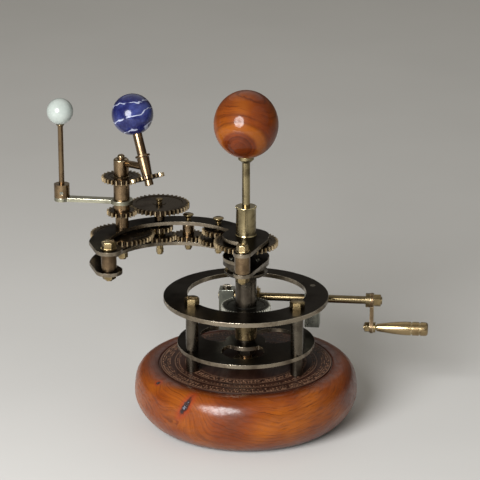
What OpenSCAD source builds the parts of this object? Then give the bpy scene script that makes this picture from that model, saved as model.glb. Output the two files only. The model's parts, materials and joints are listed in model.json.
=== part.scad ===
// A hand-cranked orrery: a fixed Sun, and a turning arm whose wheels carry the Earth and the Moon.
// Millimetres. The Sun's axis is Z, the table is Z = 0, and the crank shaft runs along X.

/* [Base] */
// Radius of the wooden base at its widest
base_r = 73.4; // [66:0.1:78]
// Height of the wooden base
base_h = 40; // [30:0.5:48]
// How far the base's side draws in from its widest radius towards the table
base_round_low = 17.4; // [12:0.1:20]
// How far the base's side draws in from its widest radius towards the top
base_round_high = 14.4; // [10:0.1:15]
// Radius of the groove turned in the base's top
base_groove_r = 57.6; // [54:0.1:58]

/* [Stand] */
// Length of the feet that lift the lower plate off the base
foot_l = 11.8; // [8:0.1:18]
// Where the front pillars stand, left and right of the Sun's axis
left_pillar_x = 33; // [30:0.1:36]
right_pillar_x = 35.3; // [30:0.1:35.4]
// How far the front pillars stand in front of the Sun's axis
pillar_y = 20.8; // [16:0.1:22]
// How far the rear post stands behind the Sun's axis
rear_post_y = 48.6; // [48.5:0.1:49.5]
// Radius of the rear post
rear_post_r = 3.4; // [2.6:0.1:3.5]
// Radius of a pillar
pillar_r = 4.1; // [3.4:0.1:4.6]
// Length of a pillar
pillar_l = 29.1; // [29:0.1:34]
// Radius of the lower plate
low_plate_r = 45.1; // [44:0.1:45.1]
// Thickness of the lower plate
low_plate_t = 2.6; // [2:0.1:4]
// Radius of the lower plate's three round windows
window_r = 14; // [11:0.1:14.5]
// Distance of the windows' middles from the Sun's axis
window_at_r = 20; // [18:0.1:20.5]
// Radius of the lower plate's hub, which stands into its windows
low_hub_r = 13.3; // [10:0.1:14]
// Outer radius of the ring plate
ring_r = 54; // [53.6:0.1:58]
// Radius of the hole in the ring plate
ring_hole_r = 38.9; // [34:0.1:39]
// How far the hole's middle lies behind the Sun's axis
ring_hole_y = 5.1; // [0:0.1:5.2]
// Thickness of the ring plate
ring_t = 2.9; // [2.5:0.1:5]

/* [Sun] */
// Radius of the fixed post on which the column turns
spindle_r = 4; // [3.4:0.1:4.4]
// Radius of the rod that carries the Sun
sun_rod_r = 2.6; // [2:0.1:3]
// Radius of the Sun's ball
sun_ball_r = 20.8; // [16:0.1:23]
// Height of the Sun's centre over the table
sun_z = 202; // [198:0.1:212]
// Half of the height of the Sun's ball, which is a little taller than wide
sun_ball_h = 22; // [18:0.1:24]

/* [Column] */
// Radius of the hub under the worm wheel
wheel_hub_r = 7.3; // [6:0.1:8]
// Outer radius of the turning column
column_r = 7; // [6.2:0.1:8]
// Radius of the flange under the arm
flange_r = 15; // [13:0.1:16]
// Radius of the tube on top of the arm, round the Sun's spindle
sun_tube_r = 6.5; // [5.6:0.1:7.5]
// Length of the tube on top of the arm
sun_tube_l = 19.8; // [14:0.1:24]

/* [Arm] */
// Height of the lower arm plate's underside over the table
arm_z = 111; // [110:0.1:118]
// Thickness of each arm plate
arm_t = 2.4; // [1.8:0.1:3]
// Clear height between the arm plates
arm_gap = 11.6; // [11.4:0.1:14]
// How far the crescent reaches in from the arc of the arbors
arm_in = 4.7; // [4:0.1:8]
// How far the crescent reaches out from the arc of the arbors
arm_out = 7.8; // [6:0.1:9]
// Radius of the arm plates' left tip
left_tip_r = 8.6; // [7:0.1:9]
// Radius of the arm plates' right tip
right_tip_r = 5.8; // [5.4:0.1:8]
// Radius of the arc on which all the arbors stand
arc_r = 48; // [47:0.1:49.5]
// Direction of the Sun's axis from the arc's centre, in degrees
arc_sun = 24.9; // [15:0.1:35]
// Angle from the Sun's axis back to the crescent's right tip, in degrees
right_tip_turn = 42.1; // [40:0.1:50]
// Angle from the Earth's axis on to the crescent's left tip, in degrees
left_tip_turn = 57.9; // [50:0.1:70]
// Radius of the spacers between the tips of the arm plates
spacer_r = 5; // [4.4:0.1:5.3]
// Radius of the arm's disc round the Sun's axis
arm_disc_r = 15.2; // [15:0.1:19]

/* [Wheels] */
// Size of the train's teeth: pitch diameter over number of teeth
tooth_m = 1; // [0.98:0.005:1.02]
// Teeth of the fixed Sun wheel, and of the Earth's wheel that matches it
sun_teeth = 40; // [40:1:40]
// Teeth of the first idler's upper wheel
first_up_teeth = 20; // [20:1:20]
// Teeth of the first idler's lower wheel
first_low_teeth = 25; // [25:1:25]
// Teeth of the second idler
second_teeth = 18; // [18:1:18]
// Teeth of the third arbor's lower wheel
third_low_teeth = 20; // [20:1:20]
// Teeth of the third arbor's pinion, which turns the Earth's wheel
third_up_teeth = 16; // [16:1:16]
// Teeth of the big wheel on top of the third arbor
moon_drive_teeth = 38; // [38:1:38]
// Teeth of the Moon's wheel
moon_teeth = 18; // [18:1:18]
// Teeth of the wheel that spins the Earth
spin_teeth = 24; // [24:1:24]
// Teeth of the Earth's own tilted wheel
tilted_teeth = 20; // [20:1:20]
// Thickness of the train's wheels
wheel_t = 3.2; // [2.6:0.1:3.4]
// Radius of the idler studs and of the third arbor
stud_r = 1.9; // [1.5:0.05:2.2]
// Tooth thickness left out of each wheel's teeth, for running clearance
backlash = 0.15; // [0.1:0.01:0.25]

/* [Worm drive] */
// Teeth of the worm wheel
worm_teeth = 48; // [48:1:48]
// Size of the worm wheel's teeth
worm_m = 0.65; // [0.64:0.005:0.66]
// Thickness of the worm wheel
worm_wheel_t = 3.9; // [3:0.1:4.5]
// Pitch radius of the worm
worm_r = 6.4; // [5.8:0.1:7]
// Length of the worm
worm_l = 14.3; // [10:0.1:16]
// Radius of the crank shaft
shaft_r = 2.6; // [2:0.1:3]
// Where the crank stands along the shaft, from the Sun's axis
crank_x = 80.1; // [74:0.1:90]
// Distance from the shaft to the crank's handle
crank_throw = 19; // [16:0.1:19.5]
// Length of the crank's handle
handle_l = 34; // [26:0.1:38]
// Largest radius of the crank's handle
handle_r = 4.6; // [3.8:0.1:5.4]

/* [Earth] */
// Radius of the Earth's upright spindle
earth_spindle_r = 2.4; // [2:0.1:2.8]
// Radius of the Earth's ball
earth_ball_r = 13.5; // [11:0.1:15]
// Tilt of the Earth's axis from the upright, in degrees
earth_tilt = 23.5; // [22:0.1:25]
// Direction in which the Earth's axis leans, in degrees
lean_way = 132; // [128:0.5:138]
// Direction of the tilted wheel from the Earth's spindle, in degrees
tilted_way = -29; // [-34:0.5:-24]
// Distance along the tilted axis from its wheel to the Earth's centre
earth_reach = 42.2; // [38:0.1:46]
// Radius of the tilted shaft under the Earth
tilted_shaft_r = 3.1; // [2.4:0.1:3.6]

/* [Moon] */
// Radius of the Moon's ball
moon_ball_r = 8.6; // [7:0.1:10]
// Distance of the Moon from the Earth's spindle
moon_at_r = 39.7; // [36:0.1:44]
// Direction of the Moon from the Earth's spindle, in degrees
moon_way = 178; // [0:1:359]
// Height of the Moon's centre over the table
moon_z = 204.4; // [196:0.1:214]
// Outer radius of the Moon's tube
moon_tube_r = 5.3; // [4.6:0.1:6]
// Radius of the Moon's rod
moon_rod_r = 1.8; // [1.4:0.1:2.2]
// Width of the Moon's arm
moon_arm_w = 6.5; // [5:0.1:8]

/* [Fits] */
// Radial clearance of a shaft that runs in a bore
running = 0.05; // [0.02:0.01:0.08]
// Gap left between faces that turn past each other
end_play = 0.3; // [0.2:0.05:0.5]

/* [Hidden] */
$fn = 64;

// Distances between the levels of the wheels and the arms
worm_wheel_drop = 8;
post_washer_t = 1.8;
wheel_clear = 1.2;
moon_wheel_up = 8.8;
moon_arm_up = 4.6;
moon_arm_t = 2.6;
spin_wheel_up = 15.5;
carrier_l = 11.3;
spindle_over = 2.7;

// Heights, from the table up
low_plate_z = base_h + foot_l;
low_plate_top = low_plate_z + low_plate_t;
ring_z = low_plate_top + pillar_l;
ring_top = ring_z + ring_t;
worm_wheel_z = ring_z - worm_wheel_drop;
wheel_hub_z = low_plate_top + post_washer_t + end_play;
worm_wheel_top = worm_wheel_z + worm_wheel_t;
shaft_z = worm_wheel_z + worm_wheel_t / 2;
arm_low_top = arm_z + arm_t;
arm_high_z = arm_low_top + arm_gap;
arm_top = arm_high_z + arm_t;
up_wheel_z = arm_high_z - wheel_clear - wheel_t;
low_wheel_z = arm_low_top + wheel_clear;
moon_wheel_z = arm_top + moon_wheel_up;
moon_wheel_top = moon_wheel_z + wheel_t;
moon_arm_z = moon_wheel_top + moon_arm_up;
spin_wheel_z = moon_arm_z + spin_wheel_up;
spin_wheel_top = spin_wheel_z + wheel_t;
collar_z = spin_wheel_top + end_play;
earth_spindle_top = collar_z + carrier_l + spindle_over;

// Wheel train: pitch radii and the arbors' places on the arc
pressure = 22;
root_depth = 1.2;
function pitch_r(teeth, m = tooth_m) = teeth * m / 2;
function spot_on_arc(turn, inside = 0) = (arc_r - inside) * heading(arc_sun + turn) + arc_centre;
function turn_for(distance) = 2 * asin(distance / (2 * arc_r));
arc_centre = -arc_r * [cos(arc_sun), sin(arc_sun)];
first_turn = turn_for(pitch_r(sun_teeth) + pitch_r(first_up_teeth));
second_turn = first_turn + turn_for(pitch_r(first_low_teeth) + pitch_r(second_teeth));
third_turn = second_turn + turn_for(pitch_r(second_teeth) + pitch_r(third_low_teeth));
earth_turn = third_turn + turn_for(pitch_r(third_up_teeth) + pitch_r(sun_teeth));
first_at = spot_on_arc(first_turn);
second_at = spot_on_arc(second_turn);
third_at = spot_on_arc(third_turn);
earth_at = spot_on_arc(earth_turn);
right_tip_in = 1.2;
left_tip_in = 4.1;
tips_at = [spot_on_arc(-right_tip_turn, right_tip_in), spot_on_arc(earth_turn + left_tip_turn, left_tip_in)];

// Phase of each wheel: the angle of one tooth's middle, so that neighbours mesh at rest
function way(from, to) = atan2(to[1] - from[1], to[0] - from[0]);
function meshed(from, to, phase, teeth, teeth_2) =
    way(from, to) + 180 - 360 / teeth_2 * (0.5 - (way(from, to) - phase) * teeth / 360);
sun_phase = 0;
first_phase = meshed([0, 0], first_at, sun_phase, sun_teeth, first_up_teeth);
second_phase = meshed(first_at, second_at, first_phase, first_low_teeth, second_teeth);
third_phase = meshed(second_at, third_at, second_phase, second_teeth, third_low_teeth);
earth_phase = meshed(third_at, earth_at, third_phase, third_up_teeth, sun_teeth);
moon_phase = meshed(third_at, earth_at, third_phase, moon_drive_teeth, moon_teeth);

// Base: how full its side is under and over its widest circle, and its groove
base_bend_low = 1.25;
base_bend_high = 0.72;
base_groove_w = 0.9;
base_groove_deep = 0.6;

// Stand: the rear post and the rear foot, the post's flange and nut, and the fixed wheel's hub
rear_post_x = -4.86;
rear_foot_y = 40;
window_fillet_r = 0.8;
post_flange_over = 4;
post_flange_t = 2.2;
post_nut_d = 11.6;
post_nut_h = 6.5;
post_washer_over = 2;
sun_hub_r = 7.6;
sun_hub_l = 3.4;

// Sun: the joint of its rod inside the tube, its cup, and the flat under its ball
sun_joint_in = 3;
sun_cup_r = 5.2;
sun_cup_foot_r = 2.8;
sun_cup_foot_l = 2.2;
sun_cup_l = 3.4;
sun_seat_r = 5.4;
sun_seat = 0.9;

// Worm drive
worm_y = pitch_r(worm_teeth, worm_m) + worm_r;
worm_pitch = PI * worm_m;
worm_root_r = worm_r - 1.25 * worm_m;
worm_tip_r = worm_r + 0.9 * worm_m;
thread_steps = 20;
shaft_start_x = -20.5;
shaft_over = 5.4;
left_bearing_x = -15;
right_bearing_x = 42;
bearing_w = 9.8;
bearing_d = 9;
bearing_over = 5;
bearing_foot_l = 7;
bearing_foot_w = 4;
bearing_foot_t = 3;
bearing_drop = 19;
bearing_screw_r = 2.9;
inner_collar_r = 4.2;
inner_collar_l = 2.4;
outer_collar_l = 3;
crank_collar_r = 4.7;
crank_collar_l = 2.8;
thread_sides = [-0.31, -0.09, 0.09, 0.31];

// Crank and handle
crank_t = 2.6;
crank_w = 6.8;
crank_hub_r = 4.9;
crank_eye_r = 4;
crank_nut_d = 8.4;
crank_nut_h = 4.6;
handle_pin_r = 1.7;
pin_tail = 4;
pin_nut_d = 7;
pin_nut_h = 3.4;
pin_washer_r = 3.4;
pin_washer_t = 1.3;
grip_slim = 0.56;
grip_grooves = [0.68, 0.84];
grip_groove_deep = 0.6;
grip_end_r = 1.8;
grip_end_l = 2;
crank_end_x = crank_x + crank_t;
handle_x = crank_end_x + 2.1;
handle_pin_end = handle_x + handle_l - grip_end_l - end_play;

// Flange of the column and its screws
flange_l = 9.6;
flange_rim_l = 3;
flange_foot_l = 2.4;
flange_waist_in = 3.4;
flange_screw_in = 3.2;
flange_screw_r = 1.5;
flange_screw_h = 0.8;

// Arm plates: where the crescent starts and ends, and the web to its right tip
arm_fillet_r = 1.5;
arm_start_turn = -6;
left_tip_lead = 20;
right_web_at = [0.43, -0.4];
right_web_r = 0.56;

// Studs, sleeves and hubs of the train
stud_tail = 4;
stud_nut_r = 2.5;
stud_nut_h = 3;
knob_neck_r = 1.7;
knob_r = 3.6;
knob_l = 4.4;
first_sleeve_r = 3.8;
second_collar_r = 3.9;
third_sleeve_r = 3.4;
third_tail = 7;
third_washer_r = 2.3;
third_knob_r = 2.4;
third_knob_l = 3.3;
earth_bush_r = 4.3;
earth_hub_r = 4.6;
spindle_tail = 5.4;
spindle_bevel = 1;
spindle_nut_r = 3.6;
spindle_nut_h = 4;
tube_rim = 0.5;

// Tilted axis of the Earth
tilted_r = pitch_r(tilted_teeth);
spin_r = pitch_r(spin_teeth);
dip = asin(-sin(earth_tilt) * cos(lean_way - tilted_way));
tilted_out = spin_r + tilted_r * cos(dip) + 0.35;
tilted_z = spin_wheel_z + wheel_t / 2 + tilted_r * sin(dip);
tilted_t = 2.4;
sleeve_from = tilted_t / 2 + end_play;
sleeve_l = 12;
sleeve_r = 4.1;
sleeve_foot_r = 3.3;
tilted_pin_r = 1.9;
tilted_hub_l = 3.8;
bracket_along = 7.2;
bracket_r = 2.3;
carrier_r = 5;
carrier_bevel = 0.8;
tilted_hub_r = 2.8;
tilted_flange_r = 4.8;
tilted_flange_t = 1.4;
earth_seat = 0.5;

// Moon: its arm's eye, its collar with the set screw, and its rod's cup
moon_eye_over = 2;
moon_collar_r = 5.1;
moon_collar_l = 8.8;
moon_cup_r = 2.8;
moon_cup_l = 1.6;
moon_seat = 0.6;
set_screw_up = 3.6;
set_screw_r = 1.2;
set_screw_way = -84 - moon_way;

// The cup's rim lies this far below the ball that it holds
seam = 0.02;

// Fasteners
hex_ring = 9.8;
hex_rear = 7.8;
hex_ring_h = 4.3;
hex_tips = [7.6, 9.2];
hex_tips_h = 4.2;
hex_bevel = 1.1;
tip_washer_over = 0.5;
tip_washer_t = 0.8;
tip_tail = 5;
tip_nut_d = 9;
tip_nut_h = 3.6;
foot_screw_r = 3;
screw_head_h = 1.8;
slot_w = 0.7;
bolt_r = 1.6;
small_bolt_r = 0.9;
post_stud_r = 2.4;
rod_r = 2;
stud_in = 9;
bolt_in = 7;

module at(spot, z = 0) { translate([spot[0], spot[1], z]) children(); }

// Copies at the two front pillars
module on_pillars() {
    translate([-left_pillar_x, -pillar_y, 0]) children();
    translate([right_pillar_x, -pillar_y, 0]) children();
}

// Copy at the rear post, which stands on the base behind the lower plate
module on_rear_post() { translate([rear_post_x, rear_post_y, 0]) children(); }

// Copies at the lower plate's feet
module on_feet() {
    on_pillars() children();
    translate([0, rear_foot_y, 0]) children();
}

module cylinder_between(radius, low, high) { translate([0, 0, low]) cylinder(r = radius, h = high - low); }

module tube(outer, inner, length) {
    difference() {
        cylinder(r = outer, h = length);
        translate([0, 0, -1]) cylinder(r = inner, h = length + 2);
    }
}

// Hexagonal prism with its corners turned off on top
module hexagon(across, height) {
    intersection() {
        cylinder(d = across, h = height, $fn = 6);
        rotate_extrude()
            polygon([[0, 0], [across / 2 + 1, 0], [across / 2 + 1, height - hex_bevel],
                [across * 0.42, height], [0, height]]);
    }
}

// Cheese-head screw with a slot, standing on Z = 0
module slotted_head(radius, height) {
    difference() {
        cylinder(r = radius, h = height);
        translate([-radius - 1, -slot_w / 2, height * 0.55]) cube([2 * radius + 2, slot_w, height]);
    }
}

// Half of a tooth's angle at radius r, from the involute of its base circle
function involute(a) = tan(a) * 180 / PI - a;
function half_tooth(r, teeth, m) =
    let (rp = teeth * m / 2, base = rp * cos(pressure))
    90 / teeth - backlash / 2 / rp * 180 / PI
        + involute(pressure) - (r > base ? involute(acos(base / r)) : 0);
function tooth_ring(teeth, m) =
    let (rp = teeth * m / 2, radii = [rp - root_depth * m, rp - 0.25 * m, rp + 0.35 * m, rp + 0.95 * m])
    [for (i = [0:teeth - 1], side = [-1, 1], k = side < 0 ? [0:3] : [3:-1:0])
        let (a = i * 360 / teeth + side * half_tooth(radii[k], teeth, m))
        radii[k] * [cos(a), sin(a)]];

// Toothed wheel with its underside on Z = 0 and one tooth's middle at the angle of its phase
module toothed_wheel(teeth, bore, thick = wheel_t, m = tooth_m, phase = 0) {
    difference() {
        rotate(phase) linear_extrude(thick) polygon(tooth_ring(teeth, m));
        translate([0, 0, -1]) cylinder(r = bore, h = thick + 2);
    }
}

// Side of the base: a flatter curve under its widest circle, and a rounder one over it
function base_point(t) =
    let (round = t < 0 ? base_round_low : base_round_high, bend = t < 0 ? base_bend_low : base_bend_high)
    [base_r - round + round * pow(cos(t), bend),
        base_h / 2 * (1 + sign(t) * pow(abs(sin(t)), bend))];

module wooden_base() {
    color("burlywood") difference() {
        rotate_extrude($fn = 96)
            polygon(concat([[0, 0]], [for (t = [-90:7.5:90]) base_point(t)], [[0, base_h]]));
        translate([0, 0, base_h - base_groove_deep])
            tube(base_groove_r, base_groove_r - base_groove_w, base_groove_deep + 1);
        on_feet() cylinder_between(bolt_r, base_h - stud_in - 1, base_h + 1);
        on_rear_post() cylinder_between(bolt_r, base_h - stud_in - 1, base_h + 1);
        cylinder_between(post_stud_r, base_h - stud_in - 1, base_h + 1);
    }
}

module base_feet() {
    color("tan") on_feet() {
        translate([0, 0, base_h]) cylinder(r = pillar_r, h = foot_l);
        cylinder_between(bolt_r, base_h - stud_in, base_h + 1);
    }
}

// Round windows of the lower plate, with the hub left standing
module plate_windows() {
    offset(r = window_fillet_r) offset(delta = -window_fillet_r) difference() {
        for (turn = [30, 150, 270]) rotate(turn) translate([window_at_r, 0]) circle(r = window_r);
        circle(r = low_hub_r);
    }
}

module lower_plate() {
    color("dimgray") difference() {
        translate([0, 0, low_plate_z]) cylinder(r = low_plate_r, h = low_plate_t, $fn = 96);
        translate([0, 0, low_plate_z - 1]) linear_extrude(low_plate_t + 2) plate_windows();
        translate([0, 0, low_plate_z - 1]) cylinder(r = spindle_r, h = low_plate_t + 2);
        on_feet() translate([0, 0, low_plate_z - 1]) cylinder(r = bolt_r, h = low_plate_t + 2);
    }
}

// Turned pillar with a stud at its foot and a threaded socket on top
module pillar(radius, foot_z, stud_z) {
    difference() {
        union() {
            cylinder_between(radius, foot_z, ring_z);
            cylinder_between(bolt_r, stud_z, foot_z + 1);
        }
        cylinder_between(bolt_r, ring_z - stud_in, ring_z + 1);
    }
}

module pillars() {
    color("tan") {
        on_pillars() pillar(pillar_r, low_plate_top, low_plate_z);
        on_rear_post() pillar(rear_post_r, base_h, base_h - stud_in);
    }
}

module ring_plate() {
    color("dimgray") difference() {
        translate([0, 0, ring_z]) cylinder(r = ring_r, h = ring_t, $fn = 96);
        translate([0, ring_hole_y, ring_z - 1]) cylinder(r = ring_hole_r, h = ring_t + 2, $fn = 96);
        on_pillars() translate([0, 0, ring_z - 1]) cylinder(r = bolt_r, h = ring_t + 2);
        on_rear_post() translate([0, 0, ring_z - 1]) cylinder(r = bolt_r, h = ring_t + 2);
        translate([right_bearing_x, worm_y, ring_z - 1]) cylinder(r = bolt_r, h = ring_t + 2);
    }
}

module ring_bolt(across) {
    translate([0, 0, ring_top]) hexagon(across, hex_ring_h);
    cylinder_between(bolt_r, ring_z - bolt_in, ring_top + 1);
}

// Bolts of the ring plate, and the screw that holds the lower plate on its rear foot
module ring_bolts() {
    color("goldenrod") {
        on_pillars() ring_bolt(hex_ring);
        on_rear_post() ring_bolt(hex_rear);
        translate([0, rear_foot_y, low_plate_top]) slotted_head(foot_screw_r, screw_head_h);
        translate([0, rear_foot_y, 0]) cylinder_between(bolt_r, low_plate_z, low_plate_top + 1);
    }
}

// Post in one turning, from its foot on the base to the seat of the Sun wheel and the Sun's rod
module centre_post() {
    color("goldenrod") {
        cylinder_between(post_stud_r, base_h - stud_in, base_h + 1);
        translate([0, 0, base_h]) cylinder(r = spindle_r + post_flange_over, h = post_flange_t);
        cylinder_between(spindle_r, base_h, up_wheel_z + wheel_t);
        cylinder_between(sun_rod_r, up_wheel_z, arm_top + sun_tube_l - sun_joint_in);
    }
}

// Nut under the lower plate, and the washer on top of it that bears the column
module post_nuts() {
    color("dimgray") {
        translate([0, 0, low_plate_z]) rotate([180, 0, 0]) difference() {
            hexagon(post_nut_d, post_nut_h);
            translate([0, 0, -1]) cylinder(r = spindle_r, h = post_nut_h + 2);
        }
        translate([0, 0, low_plate_top]) tube(spindle_r + post_washer_over, spindle_r, post_washer_t);
    }
}

module sun_wheel() {
    color("darkgoldenrod") {
        translate([0, 0, up_wheel_z]) toothed_wheel(sun_teeth, spindle_r, phase = sun_phase);
        translate([0, 0, up_wheel_z - sun_hub_l]) tube(sun_hub_r, spindle_r, sun_hub_l);
    }
}

module sun_rod() {
    color("wheat") {
        cylinder_between(sun_rod_r, arm_top + sun_tube_l - sun_joint_in, sun_z - sun_ball_h + 0.1);
        translate([0, 0, sun_z - sun_ball_h - sun_cup_l]) rotate_extrude()
            polygon([[0, 0], [sun_cup_foot_r, 0], [sun_cup_r, sun_cup_foot_l],
                [sun_cup_r, sun_cup_rim()], [0, 3]]);
    }
}

// Height of the cup's rim, which just meets the ball
function sun_cup_rim() = sun_cup_l + sun_ball_h * (1 - sqrt(1 - pow(sun_cup_r / sun_ball_r, 2))) - seam;

module sun_ball() {
    color("gold") translate([0, 0, sun_z]) difference() {
        rotate_extrude($fn = 96) polygon([for (t = [-90:5:90]) [sun_ball_r * cos(t), sun_ball_h * sin(t)]]);
        translate([0, 0, -sun_ball_h - 1]) cylinder(r = sun_seat_r, h = 1 + sun_seat);
    }
}

module along_shaft(x) { translate([x, worm_y, shaft_z]) rotate([0, 90, 0]) children(); }

module bearing_bore(x) {
    along_shaft(x - bearing_w) cylinder(r = shaft_r + running, h = 2 * bearing_w);
}

// Block that stands on the lower plate on a foot, and holds the shaft's inner end
module left_bearing() {
    top = shaft_z + bearing_over;
    color("silver") difference() {
        union() {
            translate([left_bearing_x - bearing_w / 2, worm_y - bearing_d / 2, low_plate_top])
                cube([bearing_w, bearing_d, top - low_plate_top]);
            translate([left_bearing_x - bearing_w / 2, worm_y - bearing_d / 2, low_plate_top])
                cube([bearing_w + bearing_foot_l, bearing_d + bearing_foot_w, bearing_foot_t]);
        }
        bearing_bore(left_bearing_x);
        translate([left_bearing_x, worm_y, top - 2]) cylinder(r = small_bolt_r, h = 4);
    }
}

// Block that hangs under the ring plate, and holds the shaft's outer part
module right_bearing() {
    color("silver") difference() {
        translate([right_bearing_x - bearing_w / 2, worm_y - bearing_d / 2, shaft_z - bearing_drop])
            cube([bearing_w, bearing_d, ring_z - shaft_z + bearing_drop]);
        bearing_bore(right_bearing_x);
        translate([right_bearing_x, worm_y, ring_z - 2]) cylinder(r = bolt_r, h = 4);
    }
}

module bearing_screws() {
    color("wheat") {
        translate([left_bearing_x, worm_y, shaft_z + bearing_over]) {
            slotted_head(bearing_screw_r, screw_head_h);
            translate([0, 0, -1.8]) cylinder(r = small_bolt_r, h = 2);
        }
        translate([right_bearing_x, worm_y, ring_z - 1.9]) cylinder(r = bolt_r, h = ring_t + 1.9);
    }
}

module crank_shaft() {
    color("silver") along_shaft(shaft_start_x)
        cylinder(r = shaft_r, h = crank_end_x + shaft_over - shaft_start_x);
}

// Ridge of the worm: a trapezium carried along a helix, right-handed
function thread_point(i, k) =
    let (turn = i * 360 / thread_steps,
        x = i / thread_steps * worm_pitch,
        side = thread_sides[k] * worm_pitch,
        r = (k == 0 || k == 3) ? worm_root_r - 0.15 : worm_tip_r)
    [r * cos(turn), r * sin(turn), x + side];
module worm_thread(turns) {
    last = turns * thread_steps;
    polyhedron(
        points = [for (i = [0:last], k = [0:3]) thread_point(i, k)],
        faces = concat(
            [[2, 1, 0], [3, 2, 0]],
            [for (i = [0:last - 1], k = [0:3]) let (n = (k + 1) % 4)
                [i * 4 + 4 + n, i * 4 + 4 + k, i * 4 + k]],
            [for (i = [0:last - 1], k = [0:3]) let (n = (k + 1) % 4)
                [i * 4 + n, i * 4 + 4 + n, i * 4 + k]],
            [[last * 4 + 1, last * 4 + 2, last * 4 + 3], [last * 4, last * 4 + 1, last * 4 + 3]]));
}

module worm() {
    turns = floor(worm_l / worm_pitch) - 1;
    color("darkgoldenrod") along_shaft(0) {
        translate([0, 0, -worm_l / 2]) tube(worm_root_r, shaft_r, worm_l);
        rotate(worm_phase(turns)) translate([0, 0, -turns * worm_pitch / 2]) worm_thread(turns);
    }
}

// The ridge's crest faces a gap of the worm wheel
function worm_phase(turns) = -90 + turns * 180;

module shaft_collars() {
    color("goldenrod") {
        along_shaft(left_bearing_x + bearing_w / 2 + end_play) tube(inner_collar_r, shaft_r, inner_collar_l);
        along_shaft(right_bearing_x + bearing_w / 2 + end_play) tube(inner_collar_r, shaft_r, outer_collar_l);
        along_shaft(crank_x - crank_collar_l) tube(crank_collar_r, shaft_r, crank_collar_l);
    }
}

module crank_arm() {
    color("goldenrod") difference() {
        union() {
            along_shaft(crank_x) cylinder(r = crank_hub_r, h = crank_t);
            along_shaft(crank_x) translate([crank_throw, 0, 0]) cylinder(r = crank_eye_r, h = crank_t);
            translate([crank_x, worm_y - crank_w / 2, shaft_z - crank_throw])
                cube([crank_t, crank_w, crank_throw]);
        }
        along_shaft(crank_x - 1) cylinder(r = shaft_r, h = crank_t + 2);
        along_shaft(crank_x - 1) translate([crank_throw, 0, 0]) cylinder(r = handle_pin_r, h = crank_t + 2);
    }
}

// Nut on the shaft's end, the handle's pin, its nut behind the crank and its washer in front
module crank_nuts() {
    color("wheat") {
        along_shaft(crank_end_x) difference() {
            hexagon(crank_nut_d, crank_nut_h);
            translate([0, 0, -1]) cylinder(r = shaft_r, h = crank_nut_h + 2);
        }
        along_shaft(crank_x) translate([crank_throw, 0, 0]) {
            translate([0, 0, -pin_tail]) cylinder(r = handle_pin_r, h = handle_pin_end - crank_x + pin_tail);
            rotate([180, 0, 0]) hexagon(pin_nut_d, pin_nut_h);
            translate([0, 0, crank_t]) cylinder(r = pin_washer_r, h = pin_washer_t);
        }
    }
}

// Turned grip: slim at the crank, swelling to the end, with two grooves
module handle_grip() {
    slim = handle_r * grip_slim;
    color("goldenrod") along_shaft(handle_x) translate([crank_throw, 0, 0]) difference() {
        rotate_extrude() polygon(concat(
            [[0, 0], [slim, 0]],
            [for (s = [0:0.1:1]) [slim + (handle_r - slim) * sin(s * 90), handle_l * (0.02 + 0.64 * s)]],
            [for (groove = grip_grooves, side = [-1, 1], k = side < 0 ? [1, 0] : [0, 1])
                [handle_r - grip_groove_deep * (1 - k), handle_l * groove + side * (0.3 + 0.1 * k)]],
            [for (s = [0:15:90])
                [handle_r - grip_end_r * (1 - cos(s)), handle_l - grip_end_l * (1 - sin(s))]],
            [[0, handle_l]]));
        translate([0, 0, -1]) cylinder(r = handle_pin_r + running, h = handle_l - 1);
    }
}

// Worm wheel on its long hub, which stands on the post's washer
module worm_wheel() {
    color("darkgoldenrod") {
        translate([0, 0, worm_wheel_z])
            toothed_wheel(worm_teeth, spindle_r + running, worm_wheel_t, worm_m, 90 + 180 / worm_teeth);
        translate([0, 0, wheel_hub_z]) tube(wheel_hub_r, spindle_r + running, worm_wheel_z - wheel_hub_z);
    }
}

module column_tube() {
    color("tan") translate([0, 0, worm_wheel_top])
        tube(column_r, spindle_r + running, arm_z - worm_wheel_top);
}

// Spool-shaped flange that joins the column to the arm
module column_flange() {
    color("silver") translate([0, 0, arm_z - flange_l]) difference() {
        rotate_extrude() polygon([[column_r, 0], [flange_r - 2, 0], [flange_r - 1, 1],
            [flange_r - 1, flange_foot_l], [flange_r - flange_waist_in, flange_foot_l + 1],
            [flange_r - flange_waist_in, flange_l - flange_rim_l - 1], [flange_r, flange_l - flange_rim_l],
            [flange_r, flange_l], [column_r, flange_l]]);
        on_flange() cylinder_between(small_bolt_r, flange_l - 4.6, flange_l + 1);
    }
}

// Copies at the flange's four screws
module on_flange() {
    for (turn = [45:90:315]) rotate(turn) translate([flange_r - flange_screw_in, 0, 0]) children();
}

module flange_screws() {
    color("wheat") translate([0, 0, arm_low_top]) on_flange() {
        slotted_head(flange_screw_r, flange_screw_h);
        translate([0, 0, -arm_t - 4]) cylinder(r = small_bolt_r, h = arm_t + 4.1);
    }
}

// Outline of an arm plate: a crescent with round tips, and a disc round the Sun's axis
module arm_outline() {
    start = arc_sun + arm_start_turn;
    end = arc_sun + earth_turn + left_tip_turn - left_tip_lead;
    half_w = (arm_in + arm_out) / 2;
    offset(r = -arm_fillet_r) offset(delta = arm_fillet_r) {
        translate(arc_centre) difference() {
            circle(r = arc_r + arm_out, $fn = 120);
            circle(r = arc_r - arm_in, $fn = 120);
            polygon(concat([[0, 0]], [for (s = [0:0.125:1])
                2 * arc_r * heading(end + s * (360 - end + start))]));
        }
        circle(r = arm_disc_r, $fn = 72);
        web((arc_r + arm_out - half_w) * heading(end) + arc_centre, half_w, tips_at[1], left_tip_r);
        web(arm_disc_r * right_web_at, arm_disc_r * right_web_r, tips_at[0], right_tip_r);
    }
}

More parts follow.
